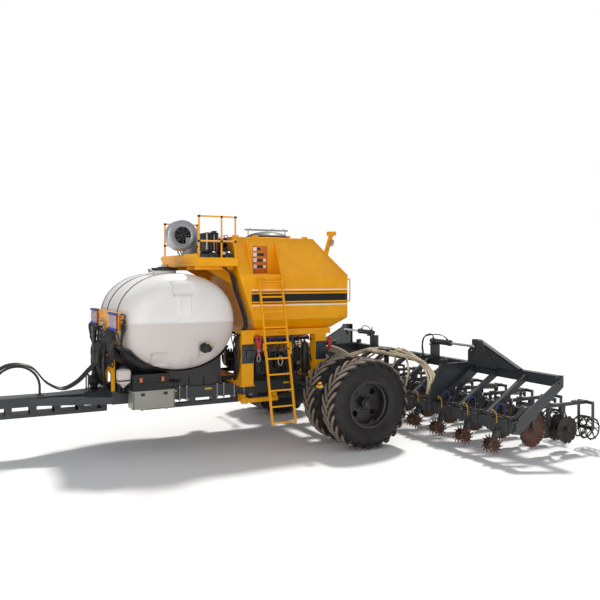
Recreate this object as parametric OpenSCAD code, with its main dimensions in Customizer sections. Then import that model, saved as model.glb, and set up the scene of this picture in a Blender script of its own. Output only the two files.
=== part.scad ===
// Trailed grain and nutrient cart with a rear-mounted strip-till toolbar.
// X runs from the hitch to the rear, Y to the machine's right-hand side, Z up from the ground.
// Every module is drawn with X = 0 at the axle; place() then moves the whole machine so that the
// origin is the middle of its footprint.

/* [Wheels] */
// Outer diameter of a tyre
tyre_d = 1720; // [1500:10:1900]
// Section width of a tyre
tyre_w = 480; // [400:10:560]
// Diameter of the rim's bead seat
rim_d = 864; // [760:2:960]
// Distance between the two tyres of one side, centre to centre
dual_pitch = 762; // [640:2:860]
// Distance between the two inner tyres, centre to centre
inner_track = 3048; // [2800:4:3400]
// Height of the axle box beam
axle_beam_h = 130; // [110:5:180]
// Thickness of the saddle between the axle and the frame rails
axle_seat = 10; // [5:1:40]

/* [Chassis] */
// Height of a frame rail
rail_h = 230; // [180:5:280]
// Width of a frame rail
rail_w = 150; // [100:5:200]
// Distance between the frame rails, centre to centre
rail_pitch = 1200; // [1000:10:1300]
// Length of the frame rails ahead of the liquid tank
rail_nose = 85; // [70:5:200]
// Rear end of the frame rails behind the axle
rail_rear = 820; // [760:10:860]
// Depth from the rail top to the underside of the lower chord
truss_depth = 380; // [320:5:440]
// Width of the tongue beam
tongue_w = 400; // [300:10:500]
// Height of the tongue beam
tongue_h = 170; // [140:5:220]
// Distance of the hitch pin ahead of the frame rails
tongue_l = 3550; // [3400:10:3900]
// Radius of the hitch pin hole
hitch_pin_r = 26; // [20:1:32]
// Thickness of the hitch clevis plates
hitch_plate = 35; // [25:1:50]
// Gap between the hitch clevis plates
hitch_gap = 90; // [70:5:120]

/* [Liquid tank] */
// Width of the tank along the machine
tank_w = 2180; // [1900:10:2200]
// Height of the tank
tank_h = 1810; // [1600:10:1900]
// Length of the tank across the machine
tank_l = 2760; // [2400:20:3000]
// Wall of the tank
tank_wall = 14; // [8:1:20]
// Gap between the tank and the hopper behind it
tank_gap = 25; // [20:5:120]
// Height of the tank's underside over the rail top
tank_lift = 375; // [340:5:420]
// Diameter of the filling hole
fill_d = 400; // [300:10:500]

/* [Hopper] */
// Length of the hopper along the machine
hopper_l = 2410; // [2200:10:2500]
// Width of the hopper
hopper_w = 2400; // [2000:20:2600]
// Height of the vertical side band
band_h = 880; // [700:10:1000]
// Height of the sloping roof
roof_h = 750; // [600:10:850]
// Height of the sloping belly below the band
belly_h = 200; // [150:5:260]
// Wall of the hopper
hopper_wall = 8; // [5:1:12]
// Height of the hopper frame's top over the rails
hopper_lift = 1075; // [1000:5:1200]
// Distance of the hopper's rear face behind the axle
hopper_rear = 250; // [150:10:300]
// Diameter of the top hatch
hatch_d = 860; // [700:20:900]
// Width of a hopper post
post_w = 250; // [200:10:300]

/* [Ladder] */
// Distance between rungs
rung_pitch = 300; // [260:5:330]
// Width between the ladder rails
ladder_w = 480; // [400:10:520]
// Lean of the ladder from upright, in degrees
ladder_lean = 13; // [8:1:16]
// Number of rungs on the fixed upper ladder
upper_rungs = 5; // [4:1:5]
// Number of rungs on the folding lower ladder
lower_rungs = 5; // [4:1:5]

/* [Toolbar] */
// Distance between crop rows
row_pitch = 762; // [740:2:780]
// Number of rows on the centre section
centre_rows = 6; // [4:2:6]
// Number of rows on each wing
wing_rows = 3; // [2:1:3]
// Gap between the lift arms' rear pins and the front beam
bar_gap = 60; // [50:5:120]
// Distance from the front beam to the rear beam
bar_reach = 1050; // [950:10:1150]
// Height of the front beam's underside
bar_z = 560; // [520:5:600]
// Height of the rear beam's underside
rear_bar_z = 1300; // [1250:10:1350]
// Depth of a toolbar beam along the machine
bar_d = 150; // [120:5:180]
// Height of a toolbar beam
bar_h = 200; // [160:5:240]
// Length of a lift arm between its pins
arm_l = 560; // [500:5:600]
// Radius of the tillage coulters
coulter_r = 320; // [280:5:340]
// Radius of the spiked row cleaner wheels
cleaner_r = 170; // [150:5:185]
// Radius of the rolling basket
basket_r = 230; // [200:5:250]
// Radius of the pins at the arms and folds
pin_r = 25; // [20:1:30]

/* [Hidden] */

GRAPHITE = "#3a4045";
YELLOW = "#f2a300";
BLACK = "#16181a";
STEEL = "#b9bcc0";
WHITE = "#eeeae6";
RUST = "#6b4428";

// Clearances
joint_gap = 1;          // between a moving piece and what it turns beside
run_clear = 0.05;       // radial, between a pin and its bore

// Heights and places that follow from the sizes above
axle_x = 0;
axle_z = tyre_d / 2;
rail_bottom = axle_z + axle_beam_h / 2 + axle_seat;
rail_top = rail_bottom + rail_h;
hopper_front = hopper_rear - hopper_l;
tank_x = -hopper_front + tank_gap + tank_w / 2;
rail_front = tank_x + tank_w / 2 + rail_nose;
hitch_x = rail_front + tongue_l;
hopper_base = rail_top + hopper_lift;
arm_x0 = rail_rear + 120;
arm_x1 = arm_x0 + arm_l;
bar_x = arm_x1 + bar_gap;
centre_half = centre_rows * row_pitch / 2;

// Footprint: the machine reaches from the clevis tip to the back of the baskets
clevis_reach = 75;
front_x = -hitch_x - clevis_reach;
basket_x = bar_x + 2240;
rear_x = basket_x + basket_r;
mid_x = (front_x + rear_x) / 2;
module place() translate([-mid_x, 0, 0]) children();

// Shared helpers
module box(lo, hi) translate(lo) cube([hi[0] - lo[0], hi[1] - lo[1], hi[2] - lo[2]]);
module sides() for (s = [-1, 1]) scale_y(s) children();
module scale_y(s) if (s > 0) children(); else mirror([0, 1, 0]) children();
module y_cyl(x, z, y0, y1, r) translate([x, y1, z]) rotate([90, 0, 0])
    cylinder(h = y1 - y0, r = r, $fn = 48);
module x_cyl(y, z, x0, x1, r) translate([x0, y, z]) rotate([0, 90, 0])
    cylinder(h = x1 - x0, r = r, $fn = 48);
module z_cyl(x, y, z0, z1, r) translate([x, y, z0]) cylinder(h = z1 - z0, r = r, $fn = 48);
// A flat outline in the X-Z plane, given thickness from y0 to y1
module xz_plate(points, y0, y1) translate([0, y1, 0]) rotate([90, 0, 0]) linear_extrude(y1 - y0)
    polygon(points);
// A flat outline in the Y-Z plane, given thickness from x0 to x1
module yz_plate(points, x0, x1) translate([x0, 0, 0]) rotate([90, 0, 90]) linear_extrude(x1 - x0)
    polygon(points);
// A square bar from p to q in the X-Z plane at y0..y1, h deep
function unit(v) = v / norm(v);
function across(p, q, h) = let (d = unit(q - p)) [-d[1], d[0]] * h / 2;
function bar_points(p, q, h) = let (n = across(p, q, h)) [p + n, q + n, q - n, p - n];
// A round bar between any two points
module rod(p, q, r) {
    d = q - p;
    translate(p) rotate([0, acos(d[2] / norm(d)), atan2(d[1], d[0])])
        cylinder(h = norm(d), r = r, $fn = 24);
}

// ---- Chassis ----
chord_h = 75;
chord_bottom = rail_top - truss_depth;
tongue_top = rail_top - 60;
tongue_bottom = tongue_top - tongue_h;
tongue_chord_bottom = tongue_top - 360;
tongue_rear = -rail_front;
strut_w = 110;
tongue_struts = 7;

module tongue() color(GRAPHITE) {
    tip = -hitch_x + 260;
    union() {
        box([tip, -tongue_w / 2, tongue_bottom], [tongue_rear, tongue_w / 2, tongue_top]);
        chord_front = tip + 620;
        box([chord_front, -tongue_w / 2, tongue_chord_bottom],
            [tongue_rear, tongue_w / 2, tongue_chord_bottom + 60]);
        xz_plate([[tip + 60, tongue_bottom + 1], [tip + 200, tongue_bottom + 1],
            [chord_front + 80, tongue_chord_bottom + 60], [chord_front, tongue_chord_bottom]],
            -tongue_w / 2, tongue_w / 2);
        span = tongue_rear - strut_w - chord_front - 60;
        for (i = [1:tongue_struts - 1], s = [-1, 1])
            translate([chord_front + 60 + span * i / (tongue_struts - 1), s * (tongue_w / 2 - 15) - 15,
                tongue_chord_bottom + 30]) cube([strut_w, 30, tongue_bottom - tongue_chord_bottom]);
        // splayed arms out to the frame rails
        sides() translate([0, 0, tongue_bottom + 10]) linear_extrude(tongue_h - 40)
            polygon([[tongue_rear - 1400, tongue_w / 2 - 40], [tongue_rear - 1250, tongue_w / 2 - 40],
                [tongue_rear, rail_pitch / 2 - rail_w / 2], [tongue_rear, rail_pitch / 2 + rail_w / 2],
                [tongue_rear - 1400, tongue_w / 2 - 10]]);
        // head plate that the clevis bolts to
        box([tip - 30, -tongue_w / 2, tongue_bottom - 60], [tip, tongue_w / 2, tongue_top]);
    }
}

clevis_z = tongue_top - tongue_h / 2 - 60;
module hitch_clevis() color(GRAPHITE) {
    back = -hitch_x + 260 - 30 - joint_gap;
    difference() {
        union() {
            for (s = [-1, 1]) translate([0, 0,
                clevis_z + s * (hitch_gap + hitch_plate) / 2 - hitch_plate / 2]) {
                translate([-hitch_x, 0, 0]) cylinder(h = hitch_plate, r = clevis_reach, $fn = 64);
                translate([-hitch_x, -clevis_reach, 0])
                    cube([back - 40 + hitch_x, 2 * clevis_reach, hitch_plate]);
            }
            box([back - 60, -clevis_reach, clevis_z - hitch_gap / 2 - hitch_plate],
                [back, clevis_reach, clevis_z + hitch_gap / 2 + hitch_plate]);
        }
        z_cyl(-hitch_x, 0, clevis_z - 200, clevis_z + 200, hitch_pin_r);
    }
}

jack_x = -hitch_x + 560;
jack_y = -tongue_w / 2 - 75;
jack_tube_s = 110;
jack_leg_s = 84;
module jack_tube() color(GRAPHITE) {
    difference() {
        union() {
            box([jack_x - jack_tube_s / 2, jack_y - jack_tube_s / 2, 420],
                [jack_x + jack_tube_s / 2, jack_y + jack_tube_s / 2, tongue_top + 220]);
            box([jack_x - 90, jack_y + jack_tube_s / 2, tongue_bottom + 10],
                [jack_x + 90, -tongue_w / 2, tongue_top - 10]);
        }
        box([jack_x - jack_leg_s / 2 - 2, jack_y - jack_leg_s / 2 - 2, 400],
            [jack_x + jack_leg_s / 2 + 2, jack_y + jack_leg_s / 2 + 2, tongue_top + 190]);
    }
    box([jack_x - 180, jack_y - 12, tongue_top + 238], [jack_x + 10, jack_y + 12, tongue_top + 262]);
    y_cyl(jack_x - 165, tongue_top + 250, jack_y - 130, jack_y, 9);
    z_cyl(jack_x, jack_y, tongue_top + 219, tongue_top + 280, 26);
}

module jack_leg() color(STEEL) {
    box([jack_x - jack_leg_s / 2, jack_y - jack_leg_s / 2, 20],
        [jack_x + jack_leg_s / 2, jack_y + jack_leg_s / 2, 900]);
    box([jack_x - 130, jack_y - 130, 0], [jack_x + 130, jack_y + 130, 20]);
}

// Cross beams of the frame, by their front faces
cross_x = [-rail_front, -tank_x - 800, -tank_x + 650, hopper_front + 210, hopper_rear - 700];
arm_y = row_pitch;            // the lift arms run between two rows
arm_w = 80;
arm_z = 680;
arm_z_top = 1110;
lug_t = 25;
pin_fit = pin_r + run_clear;
module lug_pair(y, w, points) for (t = [-1, 1])
    xz_plate(points, y + (t > 0 ? w / 2 + joint_gap : -w / 2 - joint_gap - lug_t),
        y + (t > 0 ? w / 2 + joint_gap + lug_t : -w / 2 - joint_gap));
module main_frame() color(GRAPHITE) {
    y = rail_pitch / 2;
    for (s = [-1, 1]) translate([0, s * y - rail_w / 2, 0]) {
        box([-rail_front, 0, rail_bottom], [rail_rear - 150, rail_w, rail_top]);
        box([-rail_front + 600, 0, chord_bottom], [-650, rail_w, chord_bottom + chord_h]);
        for (i = [0:7]) translate([-rail_front + 600 + i * 440, 0, chord_bottom + chord_h])
            cube([strut_w, rail_w, rail_bottom - chord_bottom - chord_h]);
    }
    for (x = cross_x) box([x, -y, rail_bottom + 20], [x + 150, y, rail_top - 20]);
    box([rail_rear - 150, -arm_y - 110, rail_bottom], [rail_rear, arm_y + 110, rail_top]);
    // pivot brackets of the lift arms at the rear
    for (s = [-1, 1]) {
        lug_pair(s * arm_y, arm_w, [[rail_rear - 150, arm_z + 60], [rail_rear - 20, arm_z - 70],
            [arm_x0 + 50, arm_z - 70], [arm_x0 + 70, arm_z], [arm_x0 + 70, arm_z_top],
            [arm_x0 + 50, arm_z_top + 70], [rail_rear, arm_z_top + 70], [rail_rear - 150, rail_bottom]]);
        for (z = [arm_z, arm_z_top])
            y_cyl(arm_x0, z, s * arm_y - arm_w / 2 - 40, s * arm_y + arm_w / 2 + 40, pin_r);
    }
}

stub_l = 380;
stub_r = 60;
axle_end = inner_track / 2 - tyre_w / 2 - 40;
module axle_beam() color(GRAPHITE) {
    w = axle_end;
    box([axle_x - 110, -w, axle_z - axle_beam_h / 2], [axle_x + 110, w, axle_z + axle_beam_h / 2]);
    for (s = [-1, 1]) {
        // saddle between the beam and each rail
        box([axle_x - 140, s * rail_pitch / 2 - rail_w / 2, axle_z + axle_beam_h / 2],
            [axle_x + 140, s * rail_pitch / 2 + rail_w / 2, rail_bottom]);
        y_cyl(axle_x, axle_z, s > 0 ? w : -w - stub_l, s > 0 ? w + stub_l : -w, stub_r);
    }
}

// ---- Wheels: one side's two rims turn together on one hub ----
inner_y = inner_track / 2;
outer_y = inner_y + dual_pitch;
module rim(y) {
    r = rim_d / 2;
    w = tyre_w / 2;
    translate([axle_x, y, axle_z]) rotate([90, 0, 0]) rotate_extrude($fn = 96)
        polygon([[r - 18, -w + 60], [r + 22, -w + 60], [r + 22, -w + 75], [r, -w + 78], [r, -w + 130],
            [r - 30, -w + 150], [r - 30, w - 150], [r, w - 130], [r, w - 78], [r + 22, w - 75],
                [r + 22, w - 60],
            [r - 18, w - 60], [r - 18, w - 140], [r - 48, w - 160], [r - 48, -w + 160],
                [r - 18, -w + 140]]);
}
hub_bolts = 10;
stub_tip = axle_end + stub_l;
module rims() color(BLACK) {
    web_r = rim_d / 2 - 47;
    difference() {
        union() {
            rim(inner_y);
            rim(outer_y);
            y_cyl(axle_x, axle_z, inner_y + 55, inner_y + 75, web_r);
            y_cyl(axle_x, axle_z, axle_end + 160, stub_tip + 30, 150);
            y_cyl(axle_x, axle_z, stub_tip + 4, outer_y - 75, 190);
            y_cyl(axle_x, axle_z, outer_y - 75, outer_y - 55, web_r);
            y_cyl(axle_x, axle_z, outer_y - 60, outer_y + 20, 105);
        }
        y_cyl(axle_x, axle_z, axle_end + 150, stub_tip + 3, stub_r + run_clear);
        y_cyl(axle_x, axle_z, stub_tip + 30, outer_y - 100, 170);
        for (i = [0:3]) rotate_at(i * 90 + 45) y_cyl(axle_x + 280, axle_z, inner_y, outer_y, 60);
    }
    for (i = [0:hub_bolts - 1]) rotate_at(i * 360 / hub_bolts)
        translate([axle_x + 150, outer_y - 56, axle_z]) rotate([-90, 0, 0])
            cylinder(h = 24, r = 17, $fn = 6);
}
module rotate_at(a) translate([axle_x, 0, axle_z]) rotate([0, a, 0]) translate([-axle_x, 0, -axle_z])
    children();
module rims_left() scale_y(-1) rims();
module rims_right() rims();

module tyre(y) {
    r = tyre_d / 2;
    b = rim_d / 2;
    w = tyre_w / 2;
    translate([axle_x, y, axle_z]) rotate([90, 0, 0]) rotate_extrude($fn = 128)
        polygon([[b + 0.5, -w + 80], [b + 22.5, -w + 76], [b + 23, -w + 58], [b + 90, -w + 14],
            [b + 200, -w],
            [r - 110, -w + 12], [r - 30, -w + 26], [r - 6, -w + 60], [r, 0], [r - 6, w - 60],
                [r - 30, w - 26],
            [r - 110, w - 12], [b + 200, w], [b + 90, w - 14], [b + 23, w - 58], [b + 22.5, w - 76],
            [b + 0.5, w - 80], [b + 0.5, w - 120], [b + 24, w - 95], [b + 90, w - 60], [r - 110, w - 50],
            [r - 60, w - 90], [r - 60, -w + 90], [r - 110, -w + 50], [b + 90, -w + 60], [b + 24, -w + 95],
            [b + 0.5, -w + 120]]);
}
module tyres() color(BLACK) {
    tyre(inner_y);
    tyre(outer_y);
}
module tyres_left() scale_y(-1) tyres();
module tyres_right() tyres();

// ---- Hoses along the tongue ----
hoop_x = -rail_front - 1580;
hoop_r = 400;
hoop_leg = 145;
hoop_t = 22;
stand_x = -rail_front - 330;
module hose_hoop() color(GRAPHITE) {
    z = tongue_top + hoop_leg;
    for (t = [-1, 1]) z_cyl(hoop_x + t * hoop_r, 0, tongue_top, z, hoop_t);
    translate([hoop_x, 0, z]) rotate([90, 0, 0]) rotate_extrude(angle = 180, $fn = 64)
        translate([hoop_r, 0]) circle(r = hoop_t, $fn = 24);
    for (t = [-1, 1]) box([hoop_x + t * hoop_r - 60, -110, tongue_top],
        [hoop_x + t * hoop_r + 60, 110, tongue_top + 12]);
    // rest for the hoses where the tongue meets the frame
    box([stand_x - 60, -150, tongue_top], [stand_x + 60, 150, tongue_top + 12]);
    for (t = [-1, 1]) box([stand_x - 12, t * 120 - 12, tongue_top + 12],
        [stand_x + 12, t * 120 + 12, tongue_top + 320]);
    box([stand_x - 20, -190, tongue_top + 320], [stand_x + 20, 190, tongue_top + 336]);
    // bracket and quick couplers that the hoses start from
    x = -rail_front + hose_route[0][0];
    box([x - 40, -170, tongue_top], [x, 170, tongue_top + 62]);
    for (y = hose_y) {
        x_cyl(y, tongue_top + hose_route[0][1], x - 75, x - 40, 22);
        x_cyl(y, tongue_top + hose_route[0][1], x - 130, x - 75, 17);
    }
}

// Hose route shared by every hose: [X from the rails' front end, height over the tongue].
// Each hose has its own Y.
hose_r = 16;
hose_y = [-130, -85, 50, 90, 130];
hose_route = [[-3250, 32], [-2900, 32], [-2450, 60], [-2110, 240], [-1850, 520], [-1580, 590], [-1300, 500],
    [-1070, 230], [-790, 90], [-530, 190], [-330, 382], [-170, 560], [-75, 780], [-60, 960], [-60, 1045]];
function ring_points(p, t, r, n) = let (a = atan2(t[1], t[0]), k = [-sin(a), 0, cos(a)])
    [for (i = [0:n - 1]) p + r * (cos(360 * i / n) * [0, 1, 0] + sin(360 * i / n) * k)];
module sweep(route, r, n) {
    m = len(route);
    points = [for (i = [0:m - 1]) let (a = route[max(i - 1, 0)], b = route[min(i + 1, m - 1)])
        each ring_points(route[i], [b[0] - a[0], b[2] - a[2]], r, n)];
    polyhedron(points, concat([[for (i = [0:n - 1]) i]], [for (j = [0:m - 2], i = [0:n - 1])
        [j * n + (i + 1) % n, j * n + i, (j + 1) * n + i, (j + 1) * n + (i + 1) % n]],
        [[for (i = [n - 1:-1:0]) (m - 1) * n + i]]));
}
module hose_bundle() color(BLACK) for (y = hose_y)
    sweep([for (p = hose_route) [p[0] - rail_front, y, tongue_top + p[1]]], hose_r, 8);

// ---- Liquid tank: an oval body lying across the machine ----
tank_z = rail_top + tank_lift + tank_h / 2;
tank_n = 48;
seat_gap = 1;
oval_e = 0.93;
function oval(a, b, e) = [for (i = [0:tank_n - 1]) let (t = 360 * i / tank_n, c = cos(t), s = sin(t))
    [a * sign(c) * pow(abs(c), e), b * sign(s) * pow(abs(s), e)]];
// Stations from one end to the other: [part of the half length, part of the section]
tank_ends = [[1, 0.66], [0.965, 0.82], [0.9, 0.93], [0.78, 1]];
module oval_body(a, b, l) {
    st = concat([for (e = tank_ends) [-e[0] * l / 2, e[1]]],
        [for (i = [3:-1:0]) [tank_ends[i][0] * l / 2, tank_ends[i][1]]]);
    m = len(st);
    n = tank_n;
    points = [for (k = st) each [for (p = oval(a * k[1], b * k[1], oval_e)) [p[0], k[0], p[1]]]];
    translate([-tank_x, 0, tank_z]) polyhedron(points, concat([[for (i = [n - 1:-1:0]) i]],
        [for (j = [0:m - 2], i = [0:n - 1])
            [j * n + i, j * n + (i + 1) % n, (j + 1) * n + (i + 1) % n, (j + 1) * n + i]],
        [[for (i = [0:n - 1]) (m - 1) * n + i]]));
}
neck_h = 60;
valve_x = -tank_x + tank_w * 0.17;
valve_z = tank_z - tank_h * 0.26;
lid_r = fill_d / 2 + 70;
lid_hinge_x = -tank_x - lid_r - 30;
lid_z = tank_z + tank_h / 2 + neck_h;
lid_pin = 8;
module liquid_tank() color(WHITE) difference() {
    union() {
        oval_body(tank_w / 2, tank_h / 2, tank_l);
        z_cyl(-tank_x, 0, tank_z + tank_h / 2 - 40, tank_z + tank_h / 2 + neck_h, fill_d / 2 + 20);
        for (s = [-1, 1]) {
            box([lid_hinge_x - 18, s * 72 - 8, lid_z - 50], [-tank_x - fill_d / 2, s * 72 + 8, lid_z - 2]);
            box([lid_hinge_x - 18, s * 72 - 8, lid_z - 50], [lid_hinge_x + 14, s * 72 + 8, lid_z + 30]);
        }
        y_cyl(lid_hinge_x, lid_z + 14, -80, 80, lid_pin);
    }
    oval_body(tank_w / 2 - tank_wall, tank_h / 2 - tank_wall, tank_l - 2 * tank_wall);
    z_cyl(-tank_x, 0, tank_z, tank_z + tank_h / 2 + neck_h + 10, fill_d / 2);
}

module tank_lid() color(BLACK) {
    difference() {
        union() {
            translate([-tank_x, 0, lid_z + joint_gap]) rotate_extrude($fn = 96)
                polygon([[0, 0], [lid_r, 0], [lid_r, 35], [lid_r - 30, 55], [0, 80]]);
            box([lid_hinge_x, -60, lid_z + joint_gap], [-tank_x - lid_r + 40, 60, lid_z + 27]);
            y_cyl(lid_hinge_x, lid_z + 14, -60, 60, 13);
        }
        y_cyl(lid_hinge_x, lid_z + 14, -70, 70, lid_pin + run_clear);
    }
    rod([-tank_x - 60, 0, lid_z + 110], [-tank_x + 60, 0, lid_z + 110], 10);
    for (t = [-1, 1]) z_cyl(-tank_x + t * 55, 0, lid_z + 60, lid_z + 112, 10);
}

// Cradles under the tank on the rails, and straps over it
strap_y = [-rail_pitch / 2, 310, rail_pitch / 2 + 300];
strap_w = 80;
strap_t = 10;
cradle_w = 70;
module oval_plate(a, b, y0, y1) translate([-tank_x, y1, tank_z]) rotate([90, 0, 0])
    linear_extrude(y1 - y0) polygon(oval(a, b, oval_e));
module tank_cradle() color(BLACK) {
    for (s = [-1, 1]) difference() {
        w = cradle_w / 2;
        y = s * rail_pitch / 2;
        box([-tank_x - tank_w * 0.42, y - w, rail_top],
            [-tank_x + tank_w * 0.42, y + w, tank_z - tank_h * 0.27]);
        oval_plate(tank_w / 2 + seat_gap, tank_h / 2 + seat_gap, y - w - 1, y + w + 1);
    }
    for (y = strap_y) difference() {
        oval_plate(tank_w / 2 + seat_gap + strap_t, tank_h / 2 + seat_gap + strap_t, y - strap_w / 2,
            y + strap_w / 2);
        oval_plate(tank_w / 2 + seat_gap, tank_h / 2 + seat_gap, y - strap_w, y + strap_w);
    }
}

valve_y = -tank_l / 2;
stem_r = 14;
module tank_valve() color(BLACK) difference() {
    union() {
        y_cyl(valve_x, valve_z, valve_y - 22, valve_y, 95);
        y_cyl(valve_x, valve_z, valve_y - 190, valve_y - 22, 48);
        box([valve_x - 60, valve_y - 150, valve_z - 60], [valve_x + 60, valve_y - 50, valve_z + 60]);
        z_cyl(valve_x, valve_y - 100, valve_z + 50, valve_z + 80, 30);
        y_cyl(valve_x, valve_z, valve_y - 215, valve_y - 190, 60);
    }
    z_cyl(valve_x, valve_y - 100, valve_z + 40, valve_z + 90, stem_r + run_clear);
}
module valve_handle() color(YELLOW) {
    z_cyl(valve_x, valve_y - 100, valve_z + 42, valve_z + 96, stem_r);
    box([valve_x - 20, valve_y - 120, valve_z + 82], [valve_x + 170, valve_y - 80, valve_z + 96]);
}

// ---- Small tanks, boxes and liquid controls at the front ----
rinse_x = -rail_front + 160;
rinse_y = -880;
module rinse_tank() color(WHITE) {
    translate([rinse_x, rinse_y, rail_top + 105]) rotate_extrude($fn = 64)
        polygon([[0, 0], [30, 0], [120, 90], [120, 310], [95, 335], [55, 340], [55, 355], [70, 355],
            [70, 400], [0, 400]]);
    box([rinse_x - 95, rinse_y - 110, rail_top], [rinse_x + 92, -rail_pitch / 2 + 40, rail_top + 10]);
    for (a = [-1, 1], b = [-1, 1]) z_cyl(rinse_x + a * 80, rinse_y + b * 80, rail_top + 10,
        rail_top + 260, 9);
}

cab_x = [-rail_front + 290, -rail_front + 1070];
cab_y = [-rail_pitch / 2 - rail_w / 2 - 375, -rail_pitch / 2 - rail_w / 2];
cab_z = [rail_top - 295, rail_top + 40];
door_t = 20;
door_pin = 5;
door_axis = [cab_y[0] + 10, cab_z[0] - 14];
module side_cabinet() color(STEEL) {
    difference() {
        box([cab_x[0], cab_y[0] + door_t + joint_gap, cab_z[0]], [cab_x[1], cab_y[1], cab_z[1]]);
        box([cab_x[0] + 8, cab_y[0] - 10, cab_z[0] + 8], [cab_x[1] - 8, cab_y[1] - 8, cab_z[1] - 8]);
    }
    for (t = [150, 600]) {
        box([cab_x[0] + t, door_axis[0] - 8, door_axis[1] - 10],
            [cab_x[0] + t + 14, cab_y[0] + 60, cab_z[0]]);
        x_cyl(door_axis[0], door_axis[1], cab_x[0] + t, cab_x[0] + t + 50, door_pin);
    }
}
module cabinet_door() color(STEEL) {
    difference() {
        union() {
            box([cab_x[0] + 2, cab_y[0], cab_z[0] + 5], [cab_x[1] - 2, cab_y[0] + door_t, cab_z[1] - 2]);
            for (t = [150, 600]) {
                box([cab_x[0] + t + 16, cab_y[0] + 2, door_axis[1]],
                    [cab_x[0] + t + 46, cab_y[0] + 18, cab_z[0] + 10]);
                x_cyl(door_axis[0], door_axis[1], cab_x[0] + t + 16, cab_x[0] + t + 46, 10);
            }
        }
        for (t = [150, 600]) x_cyl(door_axis[0], door_axis[1], cab_x[0] + t, cab_x[0] + t + 60,
            door_pin + run_clear);
    }
    for (t = [180, 600]) box([cab_x[0] + t - 30, cab_y[0] - 18, cab_z[1] - 90],
        [cab_x[0] + t + 30, cab_y[0], cab_z[1] - 40]);
}
bin_x = [cab_x[0] + 10, cab_x[1] - 110];
bin_z = [cab_z[1] + 5, cab_z[1] + 215];
bin_wall = 8;
bin_pin = 6;
bin_axis = [cab_y[1] + 18, bin_z[1] - 20];
module toolbox_bin() color(BLACK) {
    difference() {
        box([bin_x[0], cab_y[0], bin_z[0]], [bin_x[1], cab_y[1], bin_z[1]]);
        box([bin_x[0] + bin_wall, cab_y[0] + bin_wall, bin_z[0] + bin_wall],
            [bin_x[1] - bin_wall, cab_y[1] - bin_wall, bin_z[1] + 1]);
    }
    box([bin_x[0] + 60, cab_y[0] + 60, cab_z[1]], [bin_x[1] - 60, cab_y[1] - 20, bin_z[0]]);
    for (x = [bin_x[0] + 40, bin_x[1] - 160]) {
        box([x, cab_y[1], bin_z[1] - 60], [x + 50, cab_y[1] + 28, bin_z[1] - 10]);
        x_cyl(bin_axis[0], bin_axis[1], x, x + 90, bin_pin);
    }
}
module toolbox_lid() color(BLACK) {
    z = bin_z[1] + joint_gap;
    difference() {
        union() {
            difference() {
                box([bin_x[0] - 12, cab_y[0] - 12, z], [bin_x[1] + 12, cab_y[1] + 6, z + 85]);
                box([bin_x[0], cab_y[0], z - 1], [bin_x[1], cab_y[1] - 6, z + 77]);
            }
            for (x = [bin_x[0] + 40, bin_x[1] - 160])
                box([x + 52, cab_y[1] + 2, bin_axis[1] - 10], [x + 82, cab_y[1] + 28, z + 20]);
        }
        for (x = [bin_x[0], bin_x[1] - 200]) x_cyl(bin_axis[0], bin_axis[1], x, x + 200,
            bin_pin + run_clear);
    }
    for (t = [130, 530]) box([bin_x[0] + t - 30, cab_y[0] - 34, z - 50],
        [bin_x[0] + t + 30, cab_y[0] - 12, z + 30]);
}

man_x = -rail_front;
man_z = [rail_top + 1135, rail_top + 1475];
module manifold_plate() color(YELLOW) {
    box([man_x, -1200, man_z[0]], [man_x + 10, 1200, man_z[1]]);
    for (s = [-1, 1]) box([man_x, s * 590 - 30, rail_top], [man_x + 60, s * 590 + 30, man_z[1]]);
    for (z = man_z) box([man_x, -1200, z - 10], [man_x + 40, 1200, z]);
}
tube_y = [for (s = [-1, 1], i = [0:5]) s * (640 + i * 100)];
module flow_tubes() color(WHITE) {
    for (y = tube_y) {
        z_cyl(man_x - 45, y, man_z[0] + 60, man_z[1] - 40, 24);
        box([man_x - 80, y - 34, man_z[0] + 10], [man_x, y + 34, man_z[0] + 60]);
        box([man_x - 80, y - 34, man_z[1] - 40], [man_x, y + 34, man_z[1]]);
    }
}
module product_pump() color(BLACK) {
    box([stand_x + 50, 160, tongue_top], [man_x - 20, 420, tongue_top + 10]);
    box([stand_x + 80, 200, tongue_top + 10], [man_x - 60, 380, tongue_top + 60]);
    y_cyl(stand_x + 190, tongue_top + 170, 190, 290, 120);
    y_cyl(stand_x + 190, tongue_top + 170, 290, 480, 80);
    z_cyl(stand_x + 190, 240, tongue_top + 280, man_z[0] - 60, 38);
    box([stand_x + 150, 200, man_z[0] - 60], [man_x - 4, 280, man_z[0] + 40]);
    y_cyl(man_x - 60, man_z[0] - 60, -560, 180, 38);
    for (y = hose_y) z_cyl(man_x - 60, y, tongue_top + hose_route[len(hose_route) - 1][1], man_z[0] - 60,
        21);
}

// ---- Dry hopper ----
beam_in = 875;                // inner face of the hopper's side beams
band_z = [hopper_base + belly_h, hopper_base + belly_h + band_h];
roof_z = band_z[1] + roof_h;
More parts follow.
